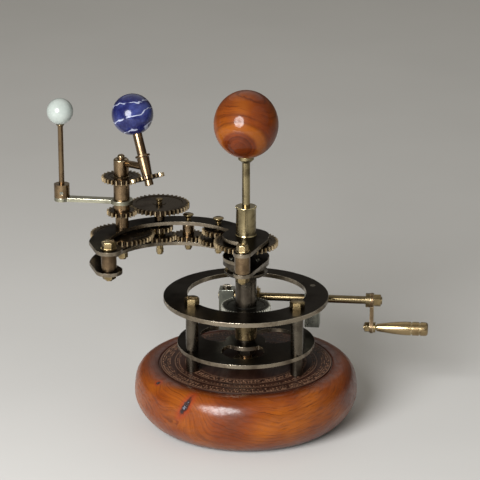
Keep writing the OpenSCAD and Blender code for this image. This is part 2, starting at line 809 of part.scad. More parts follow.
// Two discs joined by a web along their common tangents
module web(from, from_r, to, to_r) {
    translate(from) circle(r = from_r);
    translate(to) circle(r = to_r);
    swing = acos((from_r - to_r) / norm(to - from));
    tangents = [for (side = [-1, 1]) heading(way(from, to) + side * swing)];
    polygon([from + from_r * tangents[0], to + to_r * tangents[0],
        to + to_r * tangents[1], from + from_r * tangents[1]]);
}
function heading(a) = [cos(a), sin(a)];

module arm_plate(z, sun_bore, disc_screws) {
    translate([0, 0, z]) difference() {
        linear_extrude(arm_t) arm_outline();
        translate([0, 0, -1]) cylinder(r = sun_bore, h = arm_t + 2);
        at(first_at, -1) cylinder(r = stud_r, h = arm_t + 2);
        at(second_at, -1) cylinder(r = stud_r, h = arm_t + 2);
        at(third_at, -1) cylinder(r = stud_r + running, h = arm_t + 2);
        at(earth_at, -1) cylinder(r = earth_spindle_r + running, h = arm_t + 2);
        for (tip = tips_at) at(tip, -1) cylinder(r = rod_r, h = arm_t + 2);
        if (disc_screws) on_flange() cylinder_between(small_bolt_r, -1, arm_t + 1);
    }
}

module arm_plate_lower() { color("dimgray") arm_plate(arm_z, spindle_r + running, true); }

module arm_plate_upper() { color("dimgray") arm_plate(arm_high_z, sun_rod_r + running, false); }

module tip_spacers() {
    color("tan") for (tip = tips_at) at(tip, arm_low_top) tube(spacer_r, rod_r, arm_gap);
}

// Bolt down through both plates and the spacer, with a nut under the lower plate
module tip_bolts() {
    color("wheat") for (k = [0, 1], tip = [tips_at[k]]) {
        at(tip, arm_top) cylinder(r = hex_tips[k] / 2 + tip_washer_over, h = tip_washer_t);
        at(tip, arm_top + tip_washer_t) hexagon(hex_tips[k], hex_tips_h);
        at(tip) cylinder_between(rod_r, arm_z - tip_tail, arm_top + 1);
        at(tip, arm_z) rotate([180, 0, 0]) hexagon(tip_nut_d, tip_nut_h);
    }
}

module sun_tube() {
    color("tan") translate([0, 0, arm_top]) difference() {
        rotate_extrude() polygon([[0, 0], [sun_tube_r + tube_rim, 0], [sun_tube_r + tube_rim, 0.6],
            [sun_tube_r, 0.9], [sun_tube_r, sun_tube_l - 1.2], [sun_tube_r + tube_rim, sun_tube_l - 1],
            [sun_tube_r + tube_rim, sun_tube_l - 0.3], [sun_tube_r + tube_rim - 0.3, sun_tube_l],
            [0, sun_tube_l]]);
        translate([0, 0, -1]) cylinder(r = sun_rod_r + running, h = sun_tube_l + 2);
    }
}

module earth_bush() {
    color("wheat") at(earth_at, arm_top)
        tube(earth_bush_r, earth_spindle_r + running, moon_wheel_z - end_play - arm_top);
}

// Fixed stud with a mushroom knob over the upper plate and a nut under the lower one
module stud(spot) {
    at(spot) cylinder_between(stud_r, arm_z - stud_tail, arm_top + 1);
    at(spot, arm_top) rotate_extrude() polygon([[0, 0], [knob_neck_r, 0], [knob_neck_r, knob_l - 3],
        [knob_neck_r + 0.6, knob_l - 2], [knob_r, knob_l - 1], [knob_r, knob_l - 0.5],
        [knob_r - 1, knob_l], [0, knob_l]]);
    at(spot, arm_z) rotate([180, 0, 0]) cylinder(r = stud_nut_r, h = stud_nut_h, $fn = 6);
}

module first_stud() { color("goldenrod") stud(first_at); }

module second_stud() { color("goldenrod") stud(second_at); }

module first_idler_upper() {
    color("darkgoldenrod") at(first_at, up_wheel_z)
        toothed_wheel(first_up_teeth, stud_r + running, phase = first_phase);
}

module first_idler_lower() {
    color("darkgoldenrod") at(first_at, low_wheel_z)
        toothed_wheel(first_low_teeth, stud_r + running, phase = first_phase);
}

module first_idler_sleeve() {
    color("goldenrod") at(first_at, low_wheel_z + wheel_t)
        tube(first_sleeve_r, stud_r + running, up_wheel_z - low_wheel_z - wheel_t);
}

module second_idler_wheel() {
    color("darkgoldenrod") at(second_at, low_wheel_z)
        toothed_wheel(second_teeth, stud_r + running, phase = second_phase);
}

module second_idler_collar() {
    color("goldenrod") at(second_at, low_wheel_z + wheel_t)
        tube(second_collar_r, stud_r + running, arm_high_z - end_play - low_wheel_z - wheel_t);
}

// Turning arbor, with its nut under the lower plate and a knob over the big wheel
module third_arbor() {
    color("goldenrod") {
        at(third_at) cylinder_between(stud_r, arm_z - third_tail, moon_wheel_top + 1);
        at(third_at, moon_wheel_top) rotate_extrude() polygon([[0, 0], [third_knob_r - 0.9, 0],
            [third_knob_r - 0.9, third_knob_l - 2.1], [third_knob_r, third_knob_l - 1.1],
            [third_knob_r, third_knob_l - 0.5], [third_knob_r - 0.8, third_knob_l], [0, third_knob_l]]);
        at(third_at, arm_z - 2 * stud_nut_h) cylinder(r = stud_nut_r, h = stud_nut_h, $fn = 6);
        at(third_at) cylinder_between(third_washer_r, arm_z - stud_nut_h, arm_z - end_play);
        at(third_at, low_wheel_z + wheel_t) tube(third_sleeve_r, stud_r, up_wheel_z - low_wheel_z - wheel_t);
    }
}

module third_lower_wheel() {
    color("darkgoldenrod") at(third_at, low_wheel_z)
        toothed_wheel(third_low_teeth, stud_r, phase = third_phase);
}

module third_pinion() {
    color("darkgoldenrod") at(third_at, up_wheel_z)
        toothed_wheel(third_up_teeth, stud_r, phase = third_phase);
}

module moon_drive_wheel() {
    color("saddlebrown") {
        at(third_at, moon_wheel_z) toothed_wheel(moon_drive_teeth, stud_r, phase = third_phase);
        at(third_at, arm_top + end_play) tube(third_sleeve_r, stud_r, moon_wheel_z - arm_top - end_play);
    }
}

module earth_spindle() {
    color("tan") at(earth_at) {
        cylinder_between(earth_spindle_r, arm_z - spindle_tail, earth_spindle_top - spindle_bevel);
        translate([0, 0, earth_spindle_top - spindle_bevel])
            cylinder(r1 = earth_spindle_r, r2 = earth_spindle_r - 0.8 * spindle_bevel, h = spindle_bevel);
    }
}

module earth_wheel() {
    color("saddlebrown") at(earth_at) {
        translate([0, 0, up_wheel_z])
            toothed_wheel(sun_teeth, earth_spindle_r, phase = earth_phase);
        translate([0, 0, arm_low_top + end_play])
            tube(earth_hub_r, earth_spindle_r, up_wheel_z - arm_low_top - end_play);
    }
}

module spindle_nut() {
    color("wheat") at(earth_at, arm_z - end_play) rotate([180, 0, 0]) difference() {
        cylinder(r = spindle_nut_r, h = spindle_nut_h, $fn = 6);
        translate([0, 0, -1]) cylinder(r = earth_spindle_r, h = spindle_nut_h + 2);
    }
}

module carrier_collar() {
    color("tan") at(earth_at, collar_z) difference() {
        rotate_extrude() polygon([[0, 0], [carrier_r, 0], [carrier_r, carrier_l - carrier_bevel],
            [carrier_r - carrier_bevel, carrier_l], [0, carrier_l]]);
        translate([0, 0, -1]) cylinder(r = earth_spindle_r, h = carrier_l + 2);
    }
}

// Frame of the tilted axis: its wheel's middle is the origin, and the Earth lies along +Z
module tilted() {
    at(earth_at) translate([tilted_out * cos(tilted_way), tilted_out * sin(tilted_way), tilted_z])
        rotate([0, 0, lean_way]) rotate([0, earth_tilt, 0]) children();
}
function lean(s) = s * [sin(earth_tilt) * cos(lean_way), sin(earth_tilt) * sin(lean_way), cos(earth_tilt)];

// Rod from the collar to the sleeve that holds the tilted shaft
module tilt_bracket() {
    meet = tilted_out * [cos(tilted_way), sin(tilted_way), 0] + [0, 0, tilted_z] + lean(bracket_along);
    turn = atan2(meet[1], meet[0]);
    reach = norm([meet[0], meet[1]]);
    color("silver") difference() {
        union() {
            at(earth_at, meet[2]) rotate(turn) difference() {
                rotate([0, 90, 0]) cylinder(r = bracket_r, h = reach);
                translate([0, 0, -5]) cylinder(r = carrier_r, h = 10);
            }
            tilted() translate([0, 0, sleeve_from]) cylinder(r1 = sleeve_foot_r, r2 = sleeve_r, h = sleeve_l);
        }
        tilted() translate([0, 0, -1]) cylinder(r = tilted_pin_r + running, h = sleeve_l + 5);
    }
}

module moon_wheel() {
    color("darkgoldenrod") at(earth_at, moon_wheel_z)
        toothed_wheel(moon_teeth, moon_tube_r, phase = moon_phase);
}

module moon_tube() {
    color("tan") at(earth_at, moon_wheel_z)
        tube(moon_tube_r, earth_spindle_r + running, spin_wheel_top - moon_wheel_z);
}

module to_moon(z) { at(earth_at, z) rotate(moon_way) translate([moon_at_r, 0, 0]) children(); }

module moon_arm() {
    color("wheat") at(earth_at, moon_arm_z) rotate(moon_way) linear_extrude(moon_arm_t) difference() {
        union() {
            circle(r = moon_tube_r + moon_eye_over);
            translate([0, -moon_arm_w / 2]) square([moon_at_r, moon_arm_w]);
            translate([moon_at_r, 0]) circle(r = moon_collar_r);
        }
        circle(r = moon_tube_r);
        translate([moon_at_r, 0]) circle(r = moon_rod_r);
    }
}

module moon_collar() {
    color("tan") to_moon(moon_arm_z + moon_arm_t) difference() {
        tube(moon_collar_r, moon_rod_r, moon_collar_l);
        translate([0, 0, set_screw_up]) rotate([0, 90, set_screw_way]) cylinder(r = set_screw_r, h = 6);
    }
}

// Slotted set screw in the Moon's collar
module moon_screw() {
    color("wheat") to_moon(moon_arm_z + moon_arm_t + set_screw_up) rotate([0, 90, set_screw_way])
        translate([0, 0, moon_rod_r + 0.3]) slotted_head(set_screw_r, moon_collar_r - moon_rod_r - 0.6);
}

module moon_rod() {
    color("wheat") {
        to_moon(moon_arm_z) cylinder(r = moon_rod_r, h = moon_z - moon_ball_r + moon_seat - moon_arm_z);
        to_moon(moon_z - moon_ball_r - moon_cup_l) cylinder(r1 = moon_rod_r, r2 = moon_cup_r, h = moon_cup_l);
    }
}

module moon_ball() {
    color("white") to_moon(moon_z) difference() {
        sphere(r = moon_ball_r, $fn = 72);
        translate([0, 0, -moon_ball_r - 1]) cylinder(r = moon_cup_r, h = 1 + moon_seat);
    }
}

module spin_wheel() {
    color("darkgoldenrod") at(earth_at, spin_wheel_z)
        toothed_wheel(spin_teeth, moon_tube_r, phase = tilted_way + 180 / spin_teeth);
}

// Tilted shaft: a pin that runs in the sleeve, a flange that rests on it, and the shaft to the ball
module earth_arbor() {
    flange = sleeve_from + sleeve_l + end_play;
    color("tan") tilted() {
        translate([0, 0, -tilted_t / 2 - tilted_hub_l]) cylinder(r = tilted_hub_r, h = tilted_hub_l);
        translate([0, 0, -tilted_t / 2]) cylinder(r = tilted_pin_r, h = flange + tilted_t / 2 + 1);
        translate([0, 0, flange]) cylinder(r = tilted_flange_r, h = tilted_flange_t);
        cylinder_between(tilted_shaft_r, flange + tilted_flange_t, earth_reach - earth_ball_r + earth_seat);
    }
}

module tilted_wheel() {
    color("darkgoldenrod") tilted() translate([0, 0, -tilted_t / 2])
        toothed_wheel(tilted_teeth, tilted_pin_r, tilted_t, phase = tilted_phase);
}
tilted_phase = tilted_way + 180 - lean_way;

module earth_ball() {
    color("royalblue") tilted() translate([0, 0, earth_reach]) difference() {
        sphere(r = earth_ball_r, $fn = 96);
        translate([0, 0, -earth_ball_r - 1]) cylinder(r = tilted_shaft_r, h = 1 + earth_seat);
    }
}

wooden_base();
base_feet();
lower_plate();
pillars();
ring_plate();
ring_bolts();
centre_post();
post_nuts();
sun_wheel();
sun_rod();
sun_ball();
left_bearing();
right_bearing();
bearing_screws();
crank_shaft();
worm();
shaft_collars();
crank_arm();
crank_nuts();
handle_grip();
worm_wheel();
column_tube();
column_flange();
flange_screws();
arm_plate_lower();
arm_plate_upper();
tip_spacers();
tip_bolts();
sun_tube();
earth_bush();
first_stud();
second_stud();
first_idler_upper();
first_idler_lower();
first_idler_sleeve();
second_idler_wheel();
second_idler_collar();
third_arbor();
third_lower_wheel();
third_pinion();
moon_drive_wheel();
earth_spindle();
earth_wheel();
carrier_collar();
tilt_bracket();
spindle_nut();
moon_wheel();
moon_tube();
moon_arm();
moon_collar();
moon_screw();
moon_rod();
moon_ball();
spin_wheel();
earth_arbor();
tilted_wheel();
earth_ball();
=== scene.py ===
"""Looks of a hand-cranked orrery: its woods, stones and metals, and the fine form of its wheels.

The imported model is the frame. Each sub-assembly is a class that holds its sizes, in millimetres where a
field's name ends in _mm, and that builds and dresses its pieces. Every piece rides on the body of the part
it stands for.
"""

from __future__ import annotations

import json
import logging
import math
from dataclasses import dataclass, field, replace
from enum import Enum
from functools import cache

import bmesh
import bpy
import numpy as np
from mathutils import Euler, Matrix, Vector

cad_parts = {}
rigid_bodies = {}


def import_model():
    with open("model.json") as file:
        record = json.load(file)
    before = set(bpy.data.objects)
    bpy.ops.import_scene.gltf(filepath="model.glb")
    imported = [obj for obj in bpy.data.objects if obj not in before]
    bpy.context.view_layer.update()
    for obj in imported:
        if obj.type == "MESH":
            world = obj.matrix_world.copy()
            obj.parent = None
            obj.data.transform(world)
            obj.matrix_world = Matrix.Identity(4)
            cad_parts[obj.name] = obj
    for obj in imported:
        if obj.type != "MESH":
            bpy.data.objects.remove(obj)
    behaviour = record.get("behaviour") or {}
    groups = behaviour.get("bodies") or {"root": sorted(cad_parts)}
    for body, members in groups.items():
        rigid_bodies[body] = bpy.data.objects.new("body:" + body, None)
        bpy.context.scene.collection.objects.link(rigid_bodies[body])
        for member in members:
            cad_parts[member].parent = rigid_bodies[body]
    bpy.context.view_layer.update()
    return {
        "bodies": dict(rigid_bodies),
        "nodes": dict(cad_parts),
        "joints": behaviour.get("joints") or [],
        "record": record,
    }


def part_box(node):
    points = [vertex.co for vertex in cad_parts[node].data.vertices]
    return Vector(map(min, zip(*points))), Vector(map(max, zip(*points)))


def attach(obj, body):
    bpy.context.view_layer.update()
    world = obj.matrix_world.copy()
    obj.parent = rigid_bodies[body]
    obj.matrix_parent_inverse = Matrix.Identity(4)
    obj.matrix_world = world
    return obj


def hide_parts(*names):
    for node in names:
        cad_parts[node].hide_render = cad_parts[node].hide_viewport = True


LOG = logging.getLogger("orrery")
MM = 0.001
TAU = 2.0 * math.pi

ORIGIN = (0.0, 0.0, 0.0)

Triple = tuple[float, float, float]
Tone = tuple[int, int, int]
Socket = bpy.types.NodeSocket
Node = bpy.types.Node
Tree = bpy.types.NodeTree
Material = bpy.types.Material
Piece = bpy.types.Object


class Slot(Enum):
    """Material slots of the record."""

    BASE_WOOD = "base_wood"
    DARK_BRASS = "dark_brass"
    STEEL = "steel"
    SUN_WOOD = "sun_wood"
    EARTH_STONE = "earth_stone"
    MOON_STONE = "moon_stone"
    BRASS = "brass"


def tone(*colour: int) -> tuple[float, ...]:
    """Linear colour, with an alpha of one, of a display colour given as red, green and blue up to 255."""
    return *(((v / 255 + 0.055) / 1.055) ** 2.4 if v > 10 else v / 255 / 12.92 for v in colour), 1.0


class Sheet:
    """A shader tree being drawn, with short calls for the nodes that the finishes share."""

    def __init__(self, tree: Tree) -> None:
        """Takes the tree and empties it."""
        self.tree = tree
        self.tree.nodes.clear()

    def add(self, kind: str, **settings: object) -> Node:
        """Adds a node with its properties.

        Args:
            kind: Blender's type name, without the leading ShaderNode.
            settings: Properties of the node.

        Returns:
            The new node.
        """
        node = self.tree.nodes.new("ShaderNode" + kind)
        for key, value in settings.items():
            setattr(node, key, value)
        return node

    def feed(self, socket: Socket, value: object) -> None:
        """Links a socket to another, or sets its plain value.

        Args:
            socket: The input.
            value: A socket to link, or a plain value.
        """
        if isinstance(value, Socket):
            self.tree.links.new(value, socket)
        else:
            socket.default_value = value

    def fill(self, node: Node, **values: object) -> Node:
        """Feeds a node's inputs by name.

        Args:
            node: The node to feed.
            values: A value or socket for each input, named by words joined by underscores.

        Returns:
            The node.
        """
        for key, value in values.items():
            self.feed(node.inputs[key.replace("_", " ").title().replace("Ior", "IOR")], value)
        return node

    def feed_row(self, node: Node, *values: object, at: tuple[int, ...] = (0, 1, 2, 3, 4)) -> Node:
        """Feeds a node's inputs by number.

        Args:
            node: The node to feed.
            values: A value or socket for each input.
            at: Numbers of the inputs.

        Returns:
            The node.
        """
        for number, value in zip(at, values):
            self.feed(node.inputs[number], value)
        return node

    def math(self, operation: str, *values: object, clamp: bool = False) -> Socket:
        """Result of one sum on one, two or three numbers, held from 0 to 1 where clamp is set."""
        return self.feed_row(self.add("Math", operation=operation, use_clamp=clamp), *values).outputs[0]

    def times(self, first: object, second: object) -> Socket:
        """Product of two values."""
        return self.math("MULTIPLY", first, second)

    def plus(self, first: object, second: object) -> Socket:
        """Sum of two values."""
        return self.math("ADD", first, second)

    def minus(self, first: object, second: object) -> Socket:
        """Difference of two values."""
        return self.math("SUBTRACT", first, second)

    def vector(self, operation: str, *values: object) -> Socket:
        """Result of one sum on two vectors: a vector, or a number for a distance or a dot product."""
        node = self.feed_row(self.add("VectorMath", operation=operation), *values)
        return node.outputs["Value" if operation in ("DISTANCE", "DOT_PRODUCT") else "Vector"]

    def length(self, vector: object) -> Socket:
        """Distance of a place from the origin."""
        return self.vector("DISTANCE", vector, ORIGIN)

    def mix(self, factor: object, first: object, second: object) -> Socket:
        """Blend of two colours, the factor being the share of the second."""
        node = self.add("Mix", data_type="RGBA")
        return self.feed_row(node, factor, first, second, at=(0, 6, 7)).outputs[2]

    def span(self, value: object, low: float, high: float, start: float = 0.0, end: float = 1.0) -> Socket:
        """Value carried smoothly from the span low to high onto start to end."""
        node = self.add("MapRange", interpolation_type="SMOOTHSTEP")
        return self.feed_row(node, value, low, high, start, end).outputs[0]

    def noise(self, vector: object, scale: object, detail: float = 3.0, rough: float = 0.55) -> Socket:
        """Cloudy noise from 0 to 1, by its grains in a unit, its number of finer layers and their share."""
        node = self.add("TexNoise")
        return self.fill(node, vector=vector, scale=scale, detail=detail, roughness=rough).outputs["Fac"]

    def stretched(self, vector: object, scale: Triple) -> Socket:
        """Vector with each axis stretched by a factor, so that noise on it becomes streaks."""
        return self.fill(self.add("Mapping"), vector=vector, scale=scale).outputs[0]

    def framed(
        self, vector: object, at_mm: Triple, turn_deg: Triple, unit_mm: Triple = (1000.0,) * 3
    ) -> Socket:
        """Vector seen from a place along turned axes, in units of its own for each axis.

        Args:
            vector: Place in metres.
            at_mm: The new origin.
            turn_deg: Turn of the new axes.
            unit_mm: Length of a unit on each new axis.

        Returns:
            The result's socket.
        """
        place, unit = ([v * MM for v in values] for values in (at_mm, unit_mm))
        turn = [math.radians(v) for v in turn_deg]
        node = self.add("Mapping", vector_type="TEXTURE")
        return self.fill(node, vector=vector, location=place, rotation=turn, scale=unit).outputs[0]

    def position(self) -> Socket:
        """Place on the piece, in metres of the object's frame."""
        return self.add("TexCoord").outputs["Object"]

    def mark(self, name: str) -> Socket:
        """Value of one of the piece's own attributes."""
        return self.add("Attribute", attribute_name=name).outputs["Fac"]

    def ramp(self, value: object, stops: tuple[tuple[float, int, int, int], ...]) -> Socket:
        """Colour looked up on a ramp, each stop being its place and a display colour.

        Args:
            value: Number or socket from 0 to 1.
            stops: Place, red, green and blue of each stop.

        Returns:
            The result's socket.
        """
        node = self.add("ValToRGB")
        self.feed(node.inputs[0], value)
        elements = node.color_ramp.elements
        while len(elements) < len(stops):
            elements.new(1.0)
        for element, (place, *colour) in zip(elements, stops):
            element.position = place
            element.color = tone(*colour)
        return node.outputs[0]

    def bump(self, height: object, distance: float, strength: float = 1.0) -> Socket:
        """Normal of a surface raised by a height from 0 to 1, whose one is the distance in metres."""
        return self.fill(self.add("Bump"), strength=strength, distance=distance, height=height).outputs[0]


def new_pattern(
    name: str, inputs: dict[str, float | None], *outputs: str
) -> tuple[Sheet, dict[str, Socket], Node]:
    """Starts a shader node group, for an effect that is built once and shared by the finishes.

    Args:
        name: The group's name.
        inputs: The plain number of each input by name, or None where the input is a vector.
        outputs: Names of the outputs, each of them a number.

    Returns:
        The sheet, the input sockets by name, and the node that takes the outputs.
    """
    tree = bpy.data.node_groups.new(name, "ShaderNodeTree")
    for title, value in inputs.items():
        kind = "NodeSocketVector" if value is None else "NodeSocketFloat"
        socket = tree.interface.new_socket(title, in_out="INPUT", socket_type=kind)
        if value is not None:
            socket.default_value = value
    for title in outputs:
        tree.interface.new_socket(title, in_out="OUTPUT", socket_type="NodeSocketFloat")
    sheet = Sheet(tree)
    entry, leave = (tree.nodes.new("NodeGroup" + end) for end in ("Input", "Output"))
    return sheet, {socket.name: socket for socket in entry.outputs if socket.name}, leave


@cache
def tarnish_pattern() -> Tree:
    """Film on old metal: soft stains, small pits, and hairline scratches that cross each other.

    Returns:
        The group's tree, with the outputs Stain, Pits and Height.
    """
    inputs = {"Stain Size": 60.0, "Scratch": 0.5}
    sheet, given, leave = new_pattern("Tarnish", inputs, "Stain", "Pits", "Height")
    place = sheet.position()
    soft = sheet.noise(place, given["Stain Size"], 4.0, 0.6)
    fine = sheet.noise(place, 900.0, 2.0)
    along = sheet.noise(sheet.stretched(place, (3000.0, 160.0, 160.0)), 1.0, 1.0)
    across = sheet.noise(sheet.stretched(place, (160.0, 160.0, 2600.0)), 1.0, 1.0)
    lines = sheet.times(sheet.plus(along, across), given["Scratch"])
    stain, pits = sheet.span(soft, 0.4, 0.68), sheet.span(fine, 0.6, 0.75)
    sheet.fill(leave, stain=stain, pits=pits, height=sheet.plus(sheet.times(fine, 0.3), lines))
    return sheet.tree


@cache
def ring_pattern() -> Tree:
    """Growth rings and fibre of a wood: the distance from the trunk's line, warped, makes saw-tooth rings.

    The trunk runs along the vector's Y axis through its origin. A knot bends the rings round a point.

    Returns:
        The group's tree, with the outputs Ring, Fibre, Cloud and Depth.
    """
    inputs = {"Vector": None, "Spacing": 0.0025, "Warp": 0.004, "Bend": 0.0}
    sheet, given, leave = new_pattern("Growth Rings", inputs, "Ring", "Fibre", "Cloud", "Depth")
    place = given["Vector"]
    swell = sheet.noise(sheet.stretched(place, (22.0, 7.0, 22.0)), 1.0, 2.0, 0.45)
    ripple = sheet.noise(sheet.stretched(place, (120.0, 26.0, 120.0)), 1.0, 3.0, 0.6)
    reach = sheet.length(sheet.vector("MULTIPLY", place, (1.0, 0.0, 1.0)))
    warp = sheet.times(sheet.minus(swell, 0.5), given["Warp"])
    small = sheet.times(sheet.minus(ripple, 0.5), sheet.times(given["Warp"], 0.22))
    bent = sheet.plus(sheet.plus(reach, given["Bend"]), sheet.plus(warp, small))
    depth = sheet.math("DIVIDE", bent, given["Spacing"])
    turns = sheet.math("FRACT", depth)
    line = sheet.times(sheet.span(turns, 0.25, 0.8), sheet.span(turns, 0.82, 1.0, 1.0, 0.0))
    strong = sheet.add("CombineXYZ")
    sheet.fill(strong, x=sheet.times(depth, 0.9))
    patch = sheet.vector("ADD", strong.outputs[0], sheet.stretched(place, (9.0, 9.0, 9.0)))
    patch = sheet.span(sheet.noise(patch, 1.0, 2.0), 0.35, 0.68, 0.12, 1.0)
    band = sheet.add("CombineXYZ")
    sheet.fill(band, x=sheet.times(bent, 1300.0), y=sheet.vector("DOT_PRODUCT", place, (60.0, 60.0, 60.0)))
    fibre = sheet.noise(band.outputs[0], 1.0, 2.0, 0.6)
    cloud = sheet.noise(sheet.stretched(place, (26.0, 20.0, 26.0)), 1.0, 2.0)
    sheet.fill(leave, ring=sheet.times(line, patch), fibre=fibre, cloud=cloud, depth=bent)
    return sheet.tree


@cache
def vein_pattern() -> Tree:
    """Veined stone: a fine net where warped noise crosses its middle, broad veins side by side, and clouds.

    A broad vein lies where the distance along Across, warped and in units of Spacing, is a whole number.

    Returns:
        The group's tree, with the outputs Vein, Cloud and Speck.
    """
    inputs = {"Vector": None, "Scale": 60.0, "Width": 0.02, "Across": None, "Spacing": 0.008, "Broad": 1.0}
    sheet, given, leave = new_pattern("Stone Veins", inputs, "Vein", "Cloud", "Speck")
    place = given["Vector"]
    drift = sheet.add("TexNoise")
    sheet.fill(drift, vector=place, scale=given["Scale"], detail=3.0)
    middle = sheet.vector("SUBTRACT", drift.outputs["Color"], (0.5, 0.5, 0.5))
    near, far = (
        sheet.vector("ADD", place, sheet.vector("MULTIPLY", middle, (push,) * 3)) for push in (0.016, 0.02)
    )
    net = sheet.noise(near, sheet.times(given["Scale"], 0.8), 1.5, 0.4)
    gap = sheet.math("ABSOLUTE", sheet.minus(net, 0.5))
    thin = sheet.math("SUBTRACT", 1.0, sheet.math("DIVIDE", gap, given["Width"]), clamp=True)
    net = sheet.times(thin, sheet.span(sheet.noise(place, 70.0, 2.0), 0.45, 0.7, 0.0, 0.6))
    level = sheet.math("DIVIDE", sheet.vector("DOT_PRODUCT", far, given["Across"]), given["Spacing"])
    away = sheet.math("ABSOLUTE", sheet.minus(sheet.math("FRACT", sheet.plus(level, 0.5)), 0.5))
    ragged = sheet.times(sheet.noise(near, 260.0, 3.0), 0.14)
    broad = sheet.span(sheet.minus(away, ragged), -0.055, 0.005, 1.0, 0.0)
    patchy = sheet.span(sheet.noise(place, 120.0, 3.0), 0.34, 0.52, 0.15, 1.0)
    broad = sheet.times(sheet.times(broad, patchy), given["Broad"])
    cloud = sheet.noise(near, sheet.times(given["Scale"], 1.4), 5.0, 0.62)
    speck = sheet.noise(place, 700.0, 2.0)
    sheet.fill(leave, vein=sheet.math("MAXIMUM", net, broad), cloud=cloud, speck=speck)
    return sheet.tree


def use(sheet: Sheet, group: Tree, **values: object) -> Node:
    """Places a pattern in a material, its inputs named by words joined by underscores."""
    return sheet.fill(sheet.add("Group", node_tree=group), **values)


def new_finish(name: str, **plain: object) -> tuple[Material, Sheet, Node]:
    """Starts a material on one Principled shader.

    Args:
        name: The material's name.
        plain: Plain values for the shader's sockets, named by words joined by underscores.

    Returns:
        The material, its sheet and the Principled node.
    """
    material = bpy.data.materials.new(name)
    material.use_nodes = True
    sheet = Sheet(material.node_tree)
    shader = sheet.add("BsdfPrincipled")
    output = sheet.add("OutputMaterial")
    sheet.feed(output.inputs["Surface"], shader.outputs[0])
    sheet.fill(shader, **plain)
    return material, sheet, shader


@dataclass(frozen=True)
class MetalFinish:
    """Old metal under a film: a clean colour, a stained one, and a bright one for worn edges and painted
    highlight.

    A per-point attribute of the piece, from 0 to 1, shows the bright metal, as on the flanks of teeth: partly
    wear, partly painted highlight.
    """

    name: str
    clean: Tone
    stained: Tone
    bright: Tone
    roughness: float = 0.3
    stain_size: float = 70.0
    scratch: float = 0.5
    grazing: float = 1.0

    @cache
    def material(self) -> Material:
        """The finish as a material, made once.

        Returns:
            The material.
        """
        grazing = (self.grazing,) * 3 + (1.0,)
        material, sheet, shader = new_finish(self.name, metallic=1.0, specular_tint=grazing)
        film = use(sheet, tarnish_pattern(), stain_size=self.stain_size, scratch=self.scratch)
        stain, pits = film.outputs["Stain"], film.outputs["Pits"]
        clean, stained, bright = (tone(*colour) for colour in (self.clean, self.stained, self.bright))
        body = sheet.mix(stain, clean, stained)
        body = sheet.mix(sheet.times(pits, 0.45), body, stained)
        # Bright metal by the piece's mark: partly wear, partly painted highlight.
        rubbed = sheet.times(sheet.mark("rubbed"), sheet.span(stain, 0.0, 1.0, 1.0, 0.55))
        body = sheet.mix(rubbed, body, bright)
        rough = sheet.plus(sheet.math("MULTIPLY_ADD", stain, 0.16, self.roughness), sheet.times(pits, 0.12))
        normal = sheet.bump(film.outputs["Height"], 0.00003, 0.6)
        sheet.fill(shader, base_color=body, roughness=rough, normal=normal)
        return material

    def edge(self) -> MetalFinish:
        """The same metal painted bright, for the narrow faces of bevelled edges: worn metal and painted
        highlight in one.
        """
        edge_wear_and_glint = {"clean": self.bright, "stained": self.clean, "roughness": self.roughness * 0.8}
        return replace(self, name=self.name + " edge", grazing=1.0, **edge_wear_and_glint)


GUNMETAL = MetalFinish("Dark bronze", (98, 91, 80), (62, 55, 47), (190, 180, 160), 0.24)
# The two plate finishes are one bronze in two tones: the dark one for level faces is painted dark reflection,
# the light one for rims is painted light.
PLATE_PAINTED_DARK_REFLECTION = MetalFinish("Plate top, painted dark reflection", (42, 36, 29), (30, 25, 20), (160, 150, 134), 0.3, 34.0, 0.25, 0.62)
RIM_PAINTED_LIGHT = MetalFinish("Plate rim, painted light", (146, 135, 118), (104, 94, 80), (212, 202, 182), 0.25, 90.0, 0.35)
BRASS = MetalFinish("Aged brass", (150, 132, 96), (104, 88, 60), (216, 200, 160), 0.23)
GRIP = MetalFinish("Handle brass", (166, 145, 108), (120, 101, 72), (222, 206, 170), 0.2, 60.0, 0.35)
CHAMPAGNE = MetalFinish("Pale brass", (134, 113, 86), (86, 70, 53), (212, 194, 160), 0.22)
SHAFT = MetalFinish("Shaft brass", (118, 105, 78), (84, 72, 52), (186, 170, 136), 0.25)
OLIVE = MetalFinish("Olive brass", (150, 137, 104), (96, 85, 62), (216, 202, 158), 0.21)
WHEEL = MetalFinish("Wheel bronze", (58, 47, 36), (42, 33, 26), (184, 164, 130), 0.25, 60.0, 0.3, 0.7)
# Worm wheel finish: the near-black face is painted dark reflection, the bright tooth tips painted glints.
NICKEL_TEETH = MetalFinish("Nickel teeth", (34, 31, 27), (24, 22, 19), (232, 232, 220), 0.24, 60.0, 0.3, 0.5)
SILVER = MetalFinish("Old nickel", (140, 141, 130), (92, 94, 86), (216, 217, 206), 0.26)
PEWTER = MetalFinish("Moon arm pewter", (150, 148, 130), (112, 110, 94), (214, 210, 190), 0.28)


